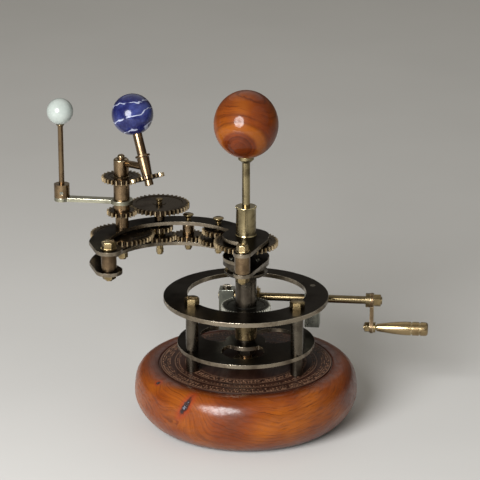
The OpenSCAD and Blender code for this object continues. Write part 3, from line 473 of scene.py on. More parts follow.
@dataclass(frozen=True)
class WoodKnot:
    """A knot in a wood: its middle, half sizes and slant, how the rings bend round it, and its tones."""

    at_mm: Triple
    half_mm: Triple
    slant_deg: Triple
    reach_mm: float
    bend_mm: float
    halo: Tone = (122, 44, 20)
    core: Tone = (26, 18, 18)
    flakes: Tone = (112, 116, 126)

    def local(self, points: np.ndarray) -> np.ndarray:
        """Points in metres, seen from the knot's middle along its own axes, in units of its half sizes."""
        axes = np.array(Euler([math.radians(v) for v in self.slant_deg]).to_matrix())
        return (points - np.array(self.at_mm) * MM) @ axes / (np.array(self.half_mm) * MM)

    def paint(self, sheet: Sheet, place: Socket, body: Socket) -> Socket:
        """Lays the knot on the wood: a red halo, the black core, and blue-grey flakes in its middle.

        The distance from the knot, in units of its half sizes, is made uneven by noise.

        Args:
            sheet: The wood's sheet.
            place: Place on the piece.
            body: The wood's colour so far.

        Returns:
            The colour with the knot in it.
        """
        own = sheet.framed(place, self.at_mm, self.slant_deg, self.half_mm)
        ragged = sheet.times(sheet.minus(sheet.noise(place, 420.0, 3.0), 0.5), 1.2)
        near = sheet.plus(sheet.length(own), ragged)
        body = sheet.mix(sheet.span(near, 1.0, 3.2, 0.8, 0.0), body, tone(*self.halo))
        body = sheet.mix(sheet.span(near, 0.8, 1.5, 0.95, 0.0), body, tone(*self.core))
        chips = sheet.span(sheet.noise(place, 900.0, 2.0), 0.5, 0.66)
        return sheet.mix(sheet.times(sheet.span(near, 0.3, 1.0, 1.0, 0.0), chips), body, tone(*self.flakes))


@dataclass(frozen=True)
class WoodFinish:
    """Lacquered wood: soft growth rings, fibre that follows them, clouds of a gold and a deep tone, and,
    where a radius is given, a band of painted shade just outside it.
    """

    name: str
    gold: Tone
    light: Tone
    dark: Tone
    deep: Tone
    trunk_mm: Triple
    turn_deg: Triple
    spacing_mm: float
    warp_mm: float
    knots: tuple[WoodKnot, ...] = ()
    coat: float = 0.7
    coat_rough: float = 0.16
    ring_share: float = 0.6
    painted_shade_r_mm: float = 0.0
    painted_shade_wide_mm: float = 11.0
    painted_shade: Tone = (58, 20, 6)
    sapwood_mm: tuple[float, float] | None = None

    def material(self) -> Material:
        """The wood as a material, with its knots.

        Returns:
            The material.
        """
        material, sheet, shader = new_finish(
            self.name, coat_roughness=self.coat_rough, specular_ior_level=0.08
        )
        place = sheet.position()
        pores = sheet.noise(sheet.stretched(place, (330.0, 330.0, 560.0)), 1.0, 3.0, 0.6)
        trunk = sheet.framed(place, self.trunk_mm, self.turn_deg)
        bend: object = 0.0
        for knot in self.knots:
            gap = sheet.vector("DISTANCE", place, tuple(v * MM for v in knot.at_mm))
            bend = sheet.plus(bend, sheet.span(gap, 0.0, knot.reach_mm * MM, knot.bend_mm * MM, 0.0))
        spacing, warp = self.spacing_mm * MM, self.warp_mm * MM
        rings = use(sheet, ring_pattern(), vector=trunk, spacing=spacing, warp=warp, bend=bend)
        ring, fibre, cloud, depth = (rings.outputs[title] for title in ("Ring", "Fibre", "Cloud", "Depth"))
        gold, light, dark, deep = (tone(*colour) for colour in (self.gold, self.light, self.dark, self.deep))
        body = sheet.mix(sheet.span(cloud, 0.25, 0.6, 0.75, 0.0), light, gold)
        share = sheet.span(depth, 0.003, 0.01, 0.15 * self.ring_share, self.ring_share)
        body = sheet.mix(sheet.times(ring, share), body, dark)
        body = sheet.mix(sheet.span(fibre, 0.46, 0.76, 0.0, 0.72), body, dark)
        body = sheet.mix(sheet.span(cloud, 0.5, 0.8, 0.0, 0.7), body, deep)
        if self.sapwood_mm:
            start, end = (v * MM for v in self.sapwood_mm)
            width = end - start
            rise, fall = (start, start + width * 0.3), (end - width * 0.4, end)
            pale = sheet.times(sheet.span(depth, *rise), sheet.span(depth, *fall, 0.6, 0.0))
            body = sheet.mix(pale, body, gold)
        # Painted shade: a dark red band just outside the given radius darkens the wood round the edge of the
        # recessed top, where shade falls.
        if self.painted_shade_r_mm:
            out = sheet.length(sheet.vector("MULTIPLY", place, (1.0, 1.0, 0.0)))
            uneven = sheet.times(sheet.minus(cloud, 0.5), 0.006)
            inner, outer = self.painted_shade_r_mm * MM, (self.painted_shade_r_mm + self.painted_shade_wide_mm) * MM
            edge = sheet.span(sheet.plus(out, uneven), inner, outer, 0.92, 0.0)
            body = sheet.mix(edge, body, tone(*self.painted_shade))
        for knot in self.knots:
            body = knot.paint(sheet, place, body)
        raised = sheet.plus(sheet.times(ring, 0.4), fibre)
        sheet.fill(
            shader,
            base_color=body,
            roughness=sheet.math("MULTIPLY_ADD", fibre, 0.16, 0.36),
            coat_weight=sheet.span(pores, 0.36, 0.6, 0.5 * self.coat, self.coat),
            normal=sheet.bump(raised, 0.00008, 0.5),
        )
        return material


@dataclass(frozen=True)
class StoneFinish:
    """Polished stone: a body colour, clouds of a second one, and pale veins."""

    name: str
    body: Tone
    cloud: Tone
    vein: Tone
    scale: float
    width: float
    cloud_share: float
    broad: float = 0.0
    spacing_mm: float = 8.0
    across: Triple = (-0.34, 0.0, 0.94)

    def material(self, centre: Triple) -> Material:
        """The stone as a material, its pattern laid round the ball's centre in metres.

        Args:
            centre: The ball's centre.

        Returns:
            The material.
        """
        material, sheet, shader = new_finish(
            self.name, coat_weight=0.4, coat_roughness=0.07, specular_ior_level=0.2
        )
        veins = use(
            sheet,
            vein_pattern(),
            vector=sheet.vector("SUBTRACT", sheet.position(), centre),
            scale=self.scale,
            width=self.width,
            across=self.across,
            spacing=self.spacing_mm * MM,
            broad=self.broad,
        )
        vein, cloud, speck = (veins.outputs[title] for title in ("Vein", "Cloud", "Speck"))
        drift = sheet.span(cloud, 0.42, 0.7, 0.0, self.cloud_share)
        body = sheet.mix(drift, tone(*self.body), tone(*self.cloud))
        body = sheet.mix(sheet.span(speck, 0.5, 0.75, 0.0, 0.25), body, tone(*self.cloud))
        body = sheet.mix(sheet.span(vein, 0.1, 0.9), body, tone(*self.vein))
        rough, normal = sheet.span(vein, 0.0, 1.0, 0.2, 0.34), sheet.bump(vein, 0.00004, 0.4)
        sheet.fill(shader, base_color=body, roughness=rough, normal=normal)
        return material


def placed(name: str, data: bpy.types.ID) -> Piece:
    """New object in the scene.

    Args:
        name: The object's name.
        data: Its mesh, lamp or camera.

    Returns:
        The object.
    """
    piece = bpy.data.objects.new(name, data)
    bpy.context.scene.collection.objects.link(piece)
    return piece


def surface(
    name: str, points: np.ndarray, wrap_rows: bool = False, wrap_columns: bool = True, **marks: np.ndarray
) -> Piece:
    """Object of one grid of points, whose quads face outward when the rows run up and the columns run round.

    Args:
        name: The piece's name.
        points: Array of rows by columns by three, in metres.
        wrap_rows: Whether the last row joins the first.
        wrap_columns: Whether the last column joins the first.
        marks: Attributes by name, each with a value for every row and column.

    Returns:
        The object, smooth, with doubled points at poles merged.
    """
    rows, columns = points.shape[:2]
    row = np.arange(rows if wrap_rows else rows - 1)[:, None]
    column = np.arange(columns if wrap_columns else columns - 1)[None, :]
    up, on = (row + 1) % rows, (column + 1) % columns
    corners = ((row, column), (row, on), (up, on), (up, column))
    quads = np.stack([across * columns + along for across, along in corners], axis=-1)
    mesh = bpy.data.meshes.new(name)
    mesh.from_pydata(points.reshape(-1, 3).tolist(), [], quads.reshape(-1, 4).tolist())
    for title, values in marks.items():
        mark = mesh.attributes.new(title, "FLOAT", "POINT")
        mark.data.foreach_set("value", values.astype(np.float32).reshape(-1))
    shape = bmesh.new()
    shape.from_mesh(mesh)
    bmesh.ops.remove_doubles(shape, verts=shape.verts, dist=1e-7)
    bmesh.ops.dissolve_degenerate(shape, edges=shape.edges, dist=1e-8)
    shape.to_mesh(mesh)
    shape.free()
    mesh.shade_smooth()
    return placed(name, mesh)


def sharpen(piece: Piece, degrees: float) -> None:
    """Marks edges that turn by more than the angle as sharp, so that flat faces stay flat to the eye."""
    piece.data.set_sharp_from_angle(angle=math.radians(degrees))


def polar(radius: np.ndarray | float, angle: np.ndarray, height: np.ndarray | float = 0.0) -> np.ndarray:
    """Points from their distance to the Z axis, their angle round it and their height."""
    return np.stack(np.broadcast_arrays(radius * np.cos(angle), radius * np.sin(angle), height), axis=-1)


def turned(profile: np.ndarray, steps: int) -> np.ndarray:
    """Surface of revolution: each point of a rising profile, a radius and a height, goes round the Z axis."""
    return polar(profile[:, :1], np.arange(steps) * TAU / steps, profile[:, 1:])


def mean_turn(angle: np.ndarray) -> float:
    """Mean direction of many angles, in radians."""
    return math.atan2(np.sin(angle).mean(), np.cos(angle).mean())


def stood(points: np.ndarray, origin: np.ndarray, axis: np.ndarray) -> np.ndarray:
    """Points carried from the Z axis onto another axis through an origin, by the shortest turn.

    Args:
        points: Any array of points with three as its last size.
        origin: Where the Z axis's zero goes.
        axis: Unit direction of the new axis.

    Returns:
        The points in place.
    """
    side = np.array([axis[1], -axis[0], 0.0]) if abs(axis[2]) < 0.999999 else np.array([1.0, 0.0, 0.0])
    side = side / np.linalg.norm(side)
    third = np.cross(axis, side)
    return origin + points @ np.stack([side, third, axis])


@dataclass
class Bench:
    """The frame on the bench: finds what belongs to what, and fits finished pieces to it.

    Edges of copied pieces that turn by more than edge_deg are broken.
    """

    frame: dict
    bodies: dict[str, str] = field(init=False)
    joints: dict[str, dict] = field(init=False)
    edge_deg: float = 34.0

    def __post_init__(self) -> None:
        """Reads the bodies and joints from the frame."""
        groups = self.frame["record"]["behaviour"]["bodies"]
        self.bodies = {node: body for body, nodes in groups.items() for node in nodes}
        self.joints = {joint["child"]: joint for joint in self.frame["joints"]}

    def axis(self, node: str) -> tuple[np.ndarray, np.ndarray]:
        """Point and unit direction of the axis a node's body turns on, or the Sun's axis for fixed nodes.

        Args:
            node: The node's name.

        Returns:
            The point in metres and the direction.
        """
        joint = self.joints.get(self.bodies[node])
        if joint is None:
            return np.zeros(3), np.array([0.0, 0.0, 1.0])
        return np.array(joint["pos_m"], float), np.array(joint["axis"], float)

    def points(self, node: str) -> np.ndarray:
        """All the points of a node's mesh, in metres.

        Args:
            node: The node's name.

        Returns:
            Array of points by three.
        """
        mesh = self.frame["nodes"][node].data
        flat = np.empty(len(mesh.vertices) * 3, np.float32)
        mesh.vertices.foreach_get("co", flat)
        return flat.reshape(-1, 3).astype(float)

    def fit(self, piece: Piece, slot: Slot, *nodes: str) -> Piece:
        """Lets a piece ride on the body of the nodes it stands for, and hides them.

        Args:
            piece: The finished piece.
            slot: The record's slot for its finish; not used.
            nodes: The nodes it replaces.

        Returns:
            The piece.
        """
        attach(piece, self.bodies[nodes[0]])
        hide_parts(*nodes)
        LOG.info("%s: %d faces, stands for %s", piece.name, len(piece.data.polygons), ", ".join(nodes))
        return piece

    def machined(
        self,
        node: str,
        finish: MetalFinish,
        slot: Slot,
        bevel_mm: float = 0.22,
        level: MetalFinish | None = None,
    ) -> Piece:
        """Copy of a node with its sharp edges broken, the narrow new faces painted bright as worn metal and
        as painted highlight.

        Args:
            node: The node to copy.
            finish: Its metal.
            slot: The record's slot.
            bevel_mm: Width of the broken edges.
            level: A second finish for the faces that lie level; the plates get a dark one there as painted
                dark reflection, against painted light on their sides.

        Returns:
            The piece, in place of the node.
        """
        mesh = self.frame["nodes"][node].data.copy()
        mesh.materials.clear()
        for metal in (finish, finish.edge(), level or finish):
            mesh.materials.append(metal.material())
        shape = bmesh.new()
        shape.from_mesh(mesh)
        bmesh.ops.remove_doubles(shape, verts=shape.verts, dist=2e-6)
        flat = math.radians(0.4)
        bmesh.ops.dissolve_limit(shape, angle_limit=flat, verts=shape.verts, edges=shape.edges)
        for face in shape.faces:
            face.smooth = True
            # Level faces take the level finish: on the plates a painted dark reflection, against the painted
            # light of the rims.
            face.material_index = 2 if level and abs(face.normal.z) > 0.9 else 0
        shape.to_mesh(mesh)
        shape.free()
        piece = placed(node + "_finished", mesh)
        sharpen(piece, self.edge_deg)
        bevel = piece.modifiers.new("Broken edges", "BEVEL")
        bevel.width = bevel_mm * MM
        bevel.segments = 2
        bevel.limit_method = "ANGLE"
        bevel.angle_limit = math.radians(self.edge_deg)
        bevel.use_clamp_overlap = True
        bevel.harden_normals = True
        # The bevel faces take the bright edge finish: partly wear, partly painted highlight.
        bevel.material = 1
        return self.fit(piece, slot, node)


def involute(angle: float | np.ndarray) -> float | np.ndarray:
    """The involute function, tan(a) - a."""
    return np.tan(angle) - angle


def axis_frame(points: np.ndarray, origin: np.ndarray, axis: np.ndarray) -> np.ndarray:
    """Points in metres seen along an axis: its own X, Y and height. The reverse of stood."""
    return (points - origin) @ stood(np.eye(3), np.zeros(3), axis).T


@dataclass
class ToothedWheel:
    """One wheel of the train, from bore to tooth tips, as a closed surface.

    A section through the wheel goes from the bore round the hub, where the node has one under the wheel,
    along the lower face, over the rim and back along the upper face. Its rows are carried round the axis,
    and at the rim they follow the outline of the teeth.
    """

    node: str
    teeth: int
    module_mm: float = 1.0
    finish: MetalFinish = WHEEL
    chamfer_mm: float = 0.2
    dish_mm: float = 0.35
    rim_mm: float = 2.2
    hub_mm: float = 2.2
    bore_mm: float = 2.0
    pressure_deg: float = 22.0
    root_share: float = 1.2
    tip_share: float = 0.95
    slack_mm: float = 0.075
    face_wear_and_glint: float = 0.06
    hub_finish: MetalFinish | None = None

    @property
    def pitch_r(self) -> float:
        """Radius of the pitch circle, in millimetres."""
        return self.teeth * self.module_mm / 2

    @property
    def root_r(self) -> float:
        """Radius at the foot of the teeth, in millimetres."""
        return self.pitch_r - self.root_share * self.module_mm

    def outline(self) -> np.ndarray:
        """Outline of the teeth as radius and angle, one tooth's middle at angle zero.

        The flank's half angle at radius r is the quarter pitch plus inv(pressure) minus inv(acos(base / r)),
        where inv(a) = tan(a) - a, less the running clearance.

        Returns:
            Array of radii in millimetres and angles in radians, going round once.
        """
        pressure = math.radians(self.pressure_deg)
        base_r = self.pitch_r * math.cos(pressure)
        tip_r = self.pitch_r + self.tip_share * self.module_mm
        radii = np.linspace(self.root_r, tip_r, 6)
        lean = involute(np.arccos(np.minimum(base_r / radii, 1.0)))
        half = math.pi / 2 / self.teeth - self.slack_mm / self.pitch_r + involute(pressure) - lean
        rise = np.stack([radii, -half], axis=-1)
        fall = rise[::-1] * (1, -1)
        valley = np.array([0.33, 0.67]) * (TAU / self.teeth - 2 * half[0]) + half[0]
        root = np.stack([np.full(2, self.root_r), valley], axis=-1)
        crown = np.array([[tip_r, -half[-1] * 0.34], [tip_r, half[-1] * 0.34]])
        tooth = np.concatenate([rise, crown, fall, root])
        turns = np.arange(self.teeth) * TAU / self.teeth
        whole = np.repeat(tooth[None], self.teeth, axis=0)
        whole[:, :, 1] += turns[:, None]
        return whole.reshape(-1, 2)

    def build(self, bench: Bench) -> Piece:
        """Makes the wheel and puts it in the node's place, its teeth turned to the mean of the node's tips.

        The rim is painted brighter by its height on the tooth, as wear and as painted highlight on the teeth,
        the faces hardly at all.

        Args:
            bench: Where the frame stands.

        Returns:
            The finished wheel.
        """
        origin, axis = bench.axis(self.node)
        flat = axis_frame(bench.points(self.node), origin, axis)
        reach = np.hypot(flat[:, 0], flat[:, 1])
        tips, rim = (flat[reach > reach.max() - deep] for deep in (0.00002, 0.0005))
        turn = mean_turn(np.arctan2(tips[:, 1], tips[:, 0]) * self.teeth) / self.teeth
        low, high = rim[:, 2].min(), rim[:, 2].max()
        outline = self.outline()
        radius, angle = outline[:, 0] * MM, outline[:, 1]
        shape, spoke = (polar(r, angle)[:, :2] for r in (radius, 1.0))
        along = np.roll(shape, -1, axis=0) - np.roll(shape, 1, axis=0)
        inward = np.stack([-along[:, 1], along[:, 0]], axis=-1) / np.linalg.norm(along, axis=1, keepdims=True)
        cut = self.chamfer_mm * MM
        face = [(r * MM * spoke, d * MM) for r, d in zip(*self.face())]
        lower = self.hub(flat, low, spoke) or [(ring, low + depth) for ring, depth in face]
        bevelled = shape + inward * cut
        rim_rows = [(bevelled, low), (shape, low + cut), (shape, high - cut), (bevelled, high)]
        upper = [(ring, high - depth) for ring, depth in reversed(face)]
        rows = lower + rim_rows + upper
        flat_points = np.stack([np.column_stack([xy, np.full(len(xy), z)]) for xy, z in rows])
        cos, sin = math.cos(turn), math.sin(turn)
        spin = np.array([[cos, sin, 0], [-sin, cos, 0], [0, 0, 1]])
        points = stood(flat_points @ spin, origin, axis)
        height = (radius / MM - self.root_r) / ((self.root_share + self.tip_share) * self.module_mm)
        # Brightness mark: low on the faces, rising with height on the teeth; partly wear, partly painted
        # highlight.
        tooth_wear_and_glint = np.full((len(rows), height.size), self.face_wear_and_glint)
        tooth_wear_and_glint[len(lower) : len(lower) + len(rim_rows)] = np.clip(height, 0.0, 1.0)
        piece = surface(self.node + "_cut", points, wrap_rows=True, rubbed=tooth_wear_and_glint)
        sharpen(piece, 28)
        piece.data.materials.append(self.finish.material())
        if self.hub_finish:
            piece.data.materials.append(self.hub_finish.material())
            centres = np.empty(len(piece.data.polygons) * 3, np.float32)
            piece.data.polygons.foreach_get("center", centres)
            under = (centres.reshape(-1, 3) - origin) @ axis < low - 0.01 * MM
            piece.data.polygons.foreach_set("material_index", under.astype(np.int32))
        return bench.fit(piece, Slot.BRASS, self.node)

    def face(self) -> tuple[list[float], list[float]]:
        """Section of a face from the bore to the rim, dished between hub and rim where there is room.

        Returns:
            Radii and depths, in millimetres.
        """
        hub, felly = self.bore_mm + self.hub_mm, self.root_r - self.rim_mm
        rings, depths = [self.bore_mm, self.bore_mm + 0.25], [0.25, 0.0]
        if felly > hub + 1.5:
            rings += [hub, hub + 0.3, felly - 0.3, felly]
            depths += [0.0, self.dish_mm, self.dish_mm, 0.0]
        return rings + [self.root_r - 0.35], depths + [0.0]

    def hub(self, flat: np.ndarray, low: float, spoke: np.ndarray) -> list[tuple[np.ndarray, float]]:
        """Rows of the lower face where a hub stands under the wheel: round the hub, then out along the face.

        Args:
            flat: The node's points in the wheel's own frame, in metres.
            low: Height of the rim's underside.
            spoke: Directions of the columns.

        Returns:
            The rows, or none where the node has no hub.
        """
        foot = flat[:, 2].min()
        if foot > low - 0.3 * MM:
            return []
        rings, depths = self.face()
        hub = np.hypot(flat[:, 0], flat[:, 1])[flat[:, 2] < low - 0.1 * MM].max() / MM
        level = low / MM + float(np.interp(hub, rings, depths))
        start = foot / MM
        path = [(self.bore_mm, start + 0.2), (self.bore_mm + 0.2, start)]
        path += [(hub - 0.2, start), (hub, start + 0.2), (hub, level)]
        path += [(r, low / MM + d) for r, d in zip(rings, depths) if r > hub + 0.1]
        return [(r * MM * spoke, z * MM) for r, z in path]


@dataclass
class Assembly:
    """A sub-assembly, built round the frame on its bench."""

    bench: Bench

    def build(self) -> None:
        """Makes the pieces and dresses them."""
        raise NotImplementedError


@dataclass
class WoodenBase(Assembly):
    """The turned base: a bulging lacquered body, and a darker top let into it with engraved scales."""

    low_reach_mm: float = 17.4
    high_reach_mm: float = 14.4
    low_exponent: float = 1.25
    high_exponent: float = 0.72
    disc_r_mm: float = 56.6
    groove_mm: float = 0.9
    groove_deep_mm: float = 0.9
    wave_mm: float = 0.05
    wave_top_mm: float = 39.0
    wave_fade_mm: float = 6.0
    lines_mm: tuple[float, ...] = (55.9, 46.7, 39.8, 33.4)
    rows_mm: tuple[float, ...] = (53.9, 50.9, 44.6, 38.4, 35.5)
    cell_mm: float = 2.3
    tick_mm: float = 0.44
    dash_mm: float = 0.4
    stroke_deep_mm: float = 0.28
    dash_out_mm: float = 0.75
    crack_deep_mm: float = 0.7
    steps: int = 1200
    step_mm: float = 0.34
    side_steps: int = 288
    body: WoodFinish = WoodFinish(
        "Lacquered pine",
        gold=(148, 79, 12),
        light=(104, 44, 7),
        dark=(70, 28, 5),
        deep=(54, 21, 5),
        trunk_mm=(10.0, 0.0, 112.0),
        turn_deg=(4.0, -3.0, 16.0),
        spacing_mm=2.9,
        warp_mm=17.0,
        knots=(
            WoodKnot((-31.9, -62.9, 32.2), (1.7, 2.6, 5.6), (-10.0, 32.6, 0.0), 24.0, 11.0),
            WoodKnot((-52.8, -41.3, 38.5), (1.7, 1.2, 0.8), (0.0, 0.0, 20.0), 9.0, 4.0),
        ),
        coat=0.76,
        coat_rough=0.24,
        ring_share=0.27,
        # Painted shade in a band round the edge of the recessed top.
        painted_shade_r_mm=57.5,
    )

    def build(self) -> None:
        """Makes the body and the top in place of the plain base."""
        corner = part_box("wooden_base")[1]
        widest, height = corner.x / MM, corner.z / MM
        self.turn_body(widest, height)
        self.engrave_top(height)

    def turn_body(self, widest: float, height: float) -> None:
        """Turns the bulging body: the side is r = core + reach * cos(t)^e, z = h / 2 * (1 + sin(t)^e).

        The reach and the exponent e are other ones under the widest circle than over it.

        Args:
            widest: Radius of the widest circle, in millimetres.
            height: The base's height, in millimetres.
        """
        t = np.radians(np.linspace(-90, 90, 73))
        reach = np.where(t < 0, self.low_reach_mm, self.high_reach_mm)
        e = np.where(t < 0, self.low_exponent, self.high_exponent)
        radius = widest - reach + reach * np.abs(np.cos(t)) ** e
        level = height / 2 * (1 + np.sign(t) * np.abs(np.sin(t)) ** e)
        inner, bottom = self.disc_r_mm, height - self.groove_deep_mm
        side = np.column_stack([radius, level])[:-1]
        floor = np.array([[0.0, 0.0], [radius[0] * 0.5, 0.0], [radius[0] - 1.0, 0.0]])
        lip = np.array([
            [inner + self.groove_mm + 0.5, height],
            [inner + self.groove_mm + 0.1, height - 0.25],
            [inner + self.groove_mm * 0.6, bottom],
            [inner + 0.05, bottom],
            [inner - 6.0, bottom - 0.2],
            [0.0, bottom - 0.2],
        ])
        points = self.dent(turned(np.concatenate([floor, side, lip]) * MM, self.side_steps))
        piece = surface("base_body", points)
        sharpen(piece, 50)
        piece.data.materials.append(self.body.material())
        self.bench.fit(piece, Slot.BASE_WOOD, "wooden_base")

    def dent(self, points: np.ndarray) -> np.ndarray:
        """Sinks a crack into each knot and gives the side the faint waves of hand polishing.

        A crack's depth is a bell curve of the distance in the knot's half sizes. The waves are
        products of sines of the angle and the height, and die away at the floor and at the top.

        Args:
            points: The body's points, in metres.

        Returns:
            The points moved in or out.
        """
        turn, height = np.arctan2(points[..., 1], points[..., 0]), points[..., 2] / MM
        wave = np.sin(turn * 17 + height * 0.21) * np.sin(height * 0.43 + 2 * np.sin(turn * 5))
        wave += 0.6 * np.sin(turn * 39 - height * 0.33) * np.sin(height * 0.9 + turn * 11)
        inside = np.minimum(height, self.wave_top_mm - height) / self.wave_fade_mm
        swell = self.wave_mm * MM * wave * np.clip(inside, 0, 1)
        cracks = (np.exp(-1.6 * np.sum(knot.local(points) ** 2, axis=-1)) for knot in self.body.knots)
        depth = swell + self.crack_deep_mm * MM * sum(cracks)
        reach = np.hypot(points[..., 0], points[..., 1])[..., None]
        outward = np.concatenate([points[..., :2] / np.maximum(reach, 1e-9), 0 * reach], axis=-1)
        return points - outward * depth[..., None]

    def engrave_top(self, height: float) -> None:
        """Makes the dark top: a disc whose height drops along ring lines and the strokes of plain scales.

        A row is cut into cells. Each has a short radial tick and a dash along either edge of the row, whose
        places and lengths seem chance: the fraction of a large multiple of a sine of the cell's number.

        Args:
            height: The base's height, in millimetres.
        """
        scales = np.arange(31.0, 56.2, self.step_mm)
        radii = np.concatenate([[0.0, 8.0, 20.0, 30.0], scales, [56.4, self.disc_r_mm]])
        angle = np.arange(self.steps) * TAU / self.steps
        reach, around = np.meshgrid(radii, angle, indexing="ij")
        mark = np.zeros_like(reach)
        for line in self.lines_mm:
            mark = np.maximum(mark, 0.55 * np.clip(1.6 - np.abs(reach - line) / 0.25, 0, 1))
        for number, row in enumerate(self.rows_mm):
            count = int(TAU * row / self.cell_mm)
            place = around / TAU * count + 0.37 * number
            index = np.floor(place) % count
            seed = index * 12.9898 + number * 78.233
            shift, tall, begin, end = (np.abs(np.sin(seed + k * 37.7) * 43758.5453) % 1.0 for k in range(4))
            along, across = (place - np.floor(place)) * self.cell_mm, reach - row
            tick = np.abs(along - 0.5 - 1.2 * shift) < self.tick_mm / 2
            tick &= (np.abs(across) < 0.35 + 0.7 * tall) & (tall > 0.2)
            outer, inner = (np.abs(across - side * self.dash_out_mm) < self.dash_mm / 2 for side in (1, -1))
            outer &= (along > 2.0 * begin) & (begin < 0.7)
            inner &= (along < 2.4 * end) & (end > 0.35)
            mark = np.maximum(mark, np.where(tick | outer | inner, 1.0, 0.0))
        level = height - 0.05 - self.stroke_deep_mm * mark
        level = np.where(reach > self.disc_r_mm - 0.1, height - 0.4, level)
        points = polar(reach, around, level)[::-1] * MM
        skirt = points[0].copy()
        skirt[:, 2] = (height - self.groove_deep_mm) * MM
        points = np.concatenate([skirt[None], points])
        piece = surface("base_top", points, engraved=np.concatenate([np.zeros((1, self.steps)), mark[::-1]]))
        piece.data.materials.append(self.top_finish())
        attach(piece, "stand")
        LOG.info("%s: %d faces", piece.name, len(piece.data.polygons))

    def top_finish(self) -> Material:
        """Dark stained wood with concentric tool lines, the engraving paler.

        Returns:
            The material.
        """
        material, sheet, shader = new_finish(
            "Engraved top", coat_weight=0.1, coat_roughness=0.3, specular_ior_level=0.12
        )
        rings = use(sheet, ring_pattern(), vector=sheet.position(), spacing=0.0021, warp=0.006, bend=0.0)
        fibre, cloud = rings.outputs["Fibre"], rings.outputs["Cloud"]
        body = sheet.mix(sheet.span(fibre, 0.35, 0.75), tone(50, 27, 18), tone(34, 18, 12))
        body = sheet.mix(sheet.span(cloud, 0.3, 0.7, 0.0, 0.6), body, tone(39, 20, 14))
        body = sheet.mix(sheet.times(sheet.mark("engraved"), 0.8), body, tone(148, 113, 89))
        rough, normal = sheet.span(fibre, 0.0, 1.0, 0.42, 0.62), sheet.bump(fibre, 0.00005, 0.5)
        sheet.fill(shader, base_color=body, roughness=rough, normal=normal)
        return material


@dataclass
class Balls(Assembly):
    """The wooden Sun, the stone Earth and the stone Moon."""

    steps: int = 160
    sun_tall: float = 22 / 20.8
    sun: WoodFinish = WoodFinish(
        "Polished burr",
        gold=(137, 75, 17),
        light=(98, 40, 8),
        dark=(63, 22, 5),
        deep=(48, 17, 4),
        trunk_mm=(-1.0, 0.0, 196.0),
        turn_deg=(14.0, 0.0, -4.0),
        spacing_mm=4.4,
        warp_mm=9.0,
        coat=0.55,
        coat_rough=0.07,
        ring_share=0.75,
        sapwood_mm=(10.0, 18.0),
    )
    earth: StoneFinish = StoneFinish(
        "Blue stone",
        body=(18, 21, 66),
        cloud=(60, 70, 126),
        vein=(152, 157, 178),
        scale=46.0,
        width=0.014,
        cloud_share=0.75,
        broad=1.0,
    )
    moon: StoneFinish = StoneFinish(
        "White stone",
        body=(156, 163, 158),
        cloud=(142, 150, 145),
        vein=(170, 175, 172),
        scale=60.0,
        width=0.02,
        cloud_share=0.6,
    )

    def centre(self, node: str, tall: float = 1.0) -> Triple:
        """Centre of a ball, from the upper half of its node's box."""
        low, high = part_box(node)
        return (high.x + low.x) / 2, (high.y + low.y) / 2, high.z - (high.x - low.x) / 2 * tall

    def ball(self, node: str, finish: Material, slot: Slot, tall: float = 1.0) -> None:
        """Makes a ball in the node's place, from the upper half of the node's box.

        Its profile has the radius r cos(t) and the height r sin(t) times its tallness.

        Args:
            node: The node to replace.
            finish: Its material.
            slot: The record's slot.
            tall: Height of the ball for each millimetre of its width.
        """
        low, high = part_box(node)
        radius = (high.x - low.x) / 2
        centre = np.array(self.centre(node, tall))
        t = np.linspace(-math.pi / 2, math.pi / 2, self.steps // 2 + 1)
        points = turned(np.column_stack([np.cos(t), np.sin(t) * tall]) * radius, self.steps)
        piece = surface(node + "_polished", stood(points, centre, self.bench.axis(node)[1]))
        piece.data.materials.append(finish)
        self.bench.fit(piece, slot, node)

    def build(self) -> None:
        """Makes the three balls."""
        self.ball("sun_ball", self.sun.material(), Slot.SUN_WOOD, self.sun_tall)
        for node, stone, slot in (
            ("earth_ball", self.earth, Slot.EARTH_STONE),
            ("moon_ball", self.moon, Slot.MOON_STONE),
        ):
            self.ball(node, stone.material(self.centre(node)), slot)


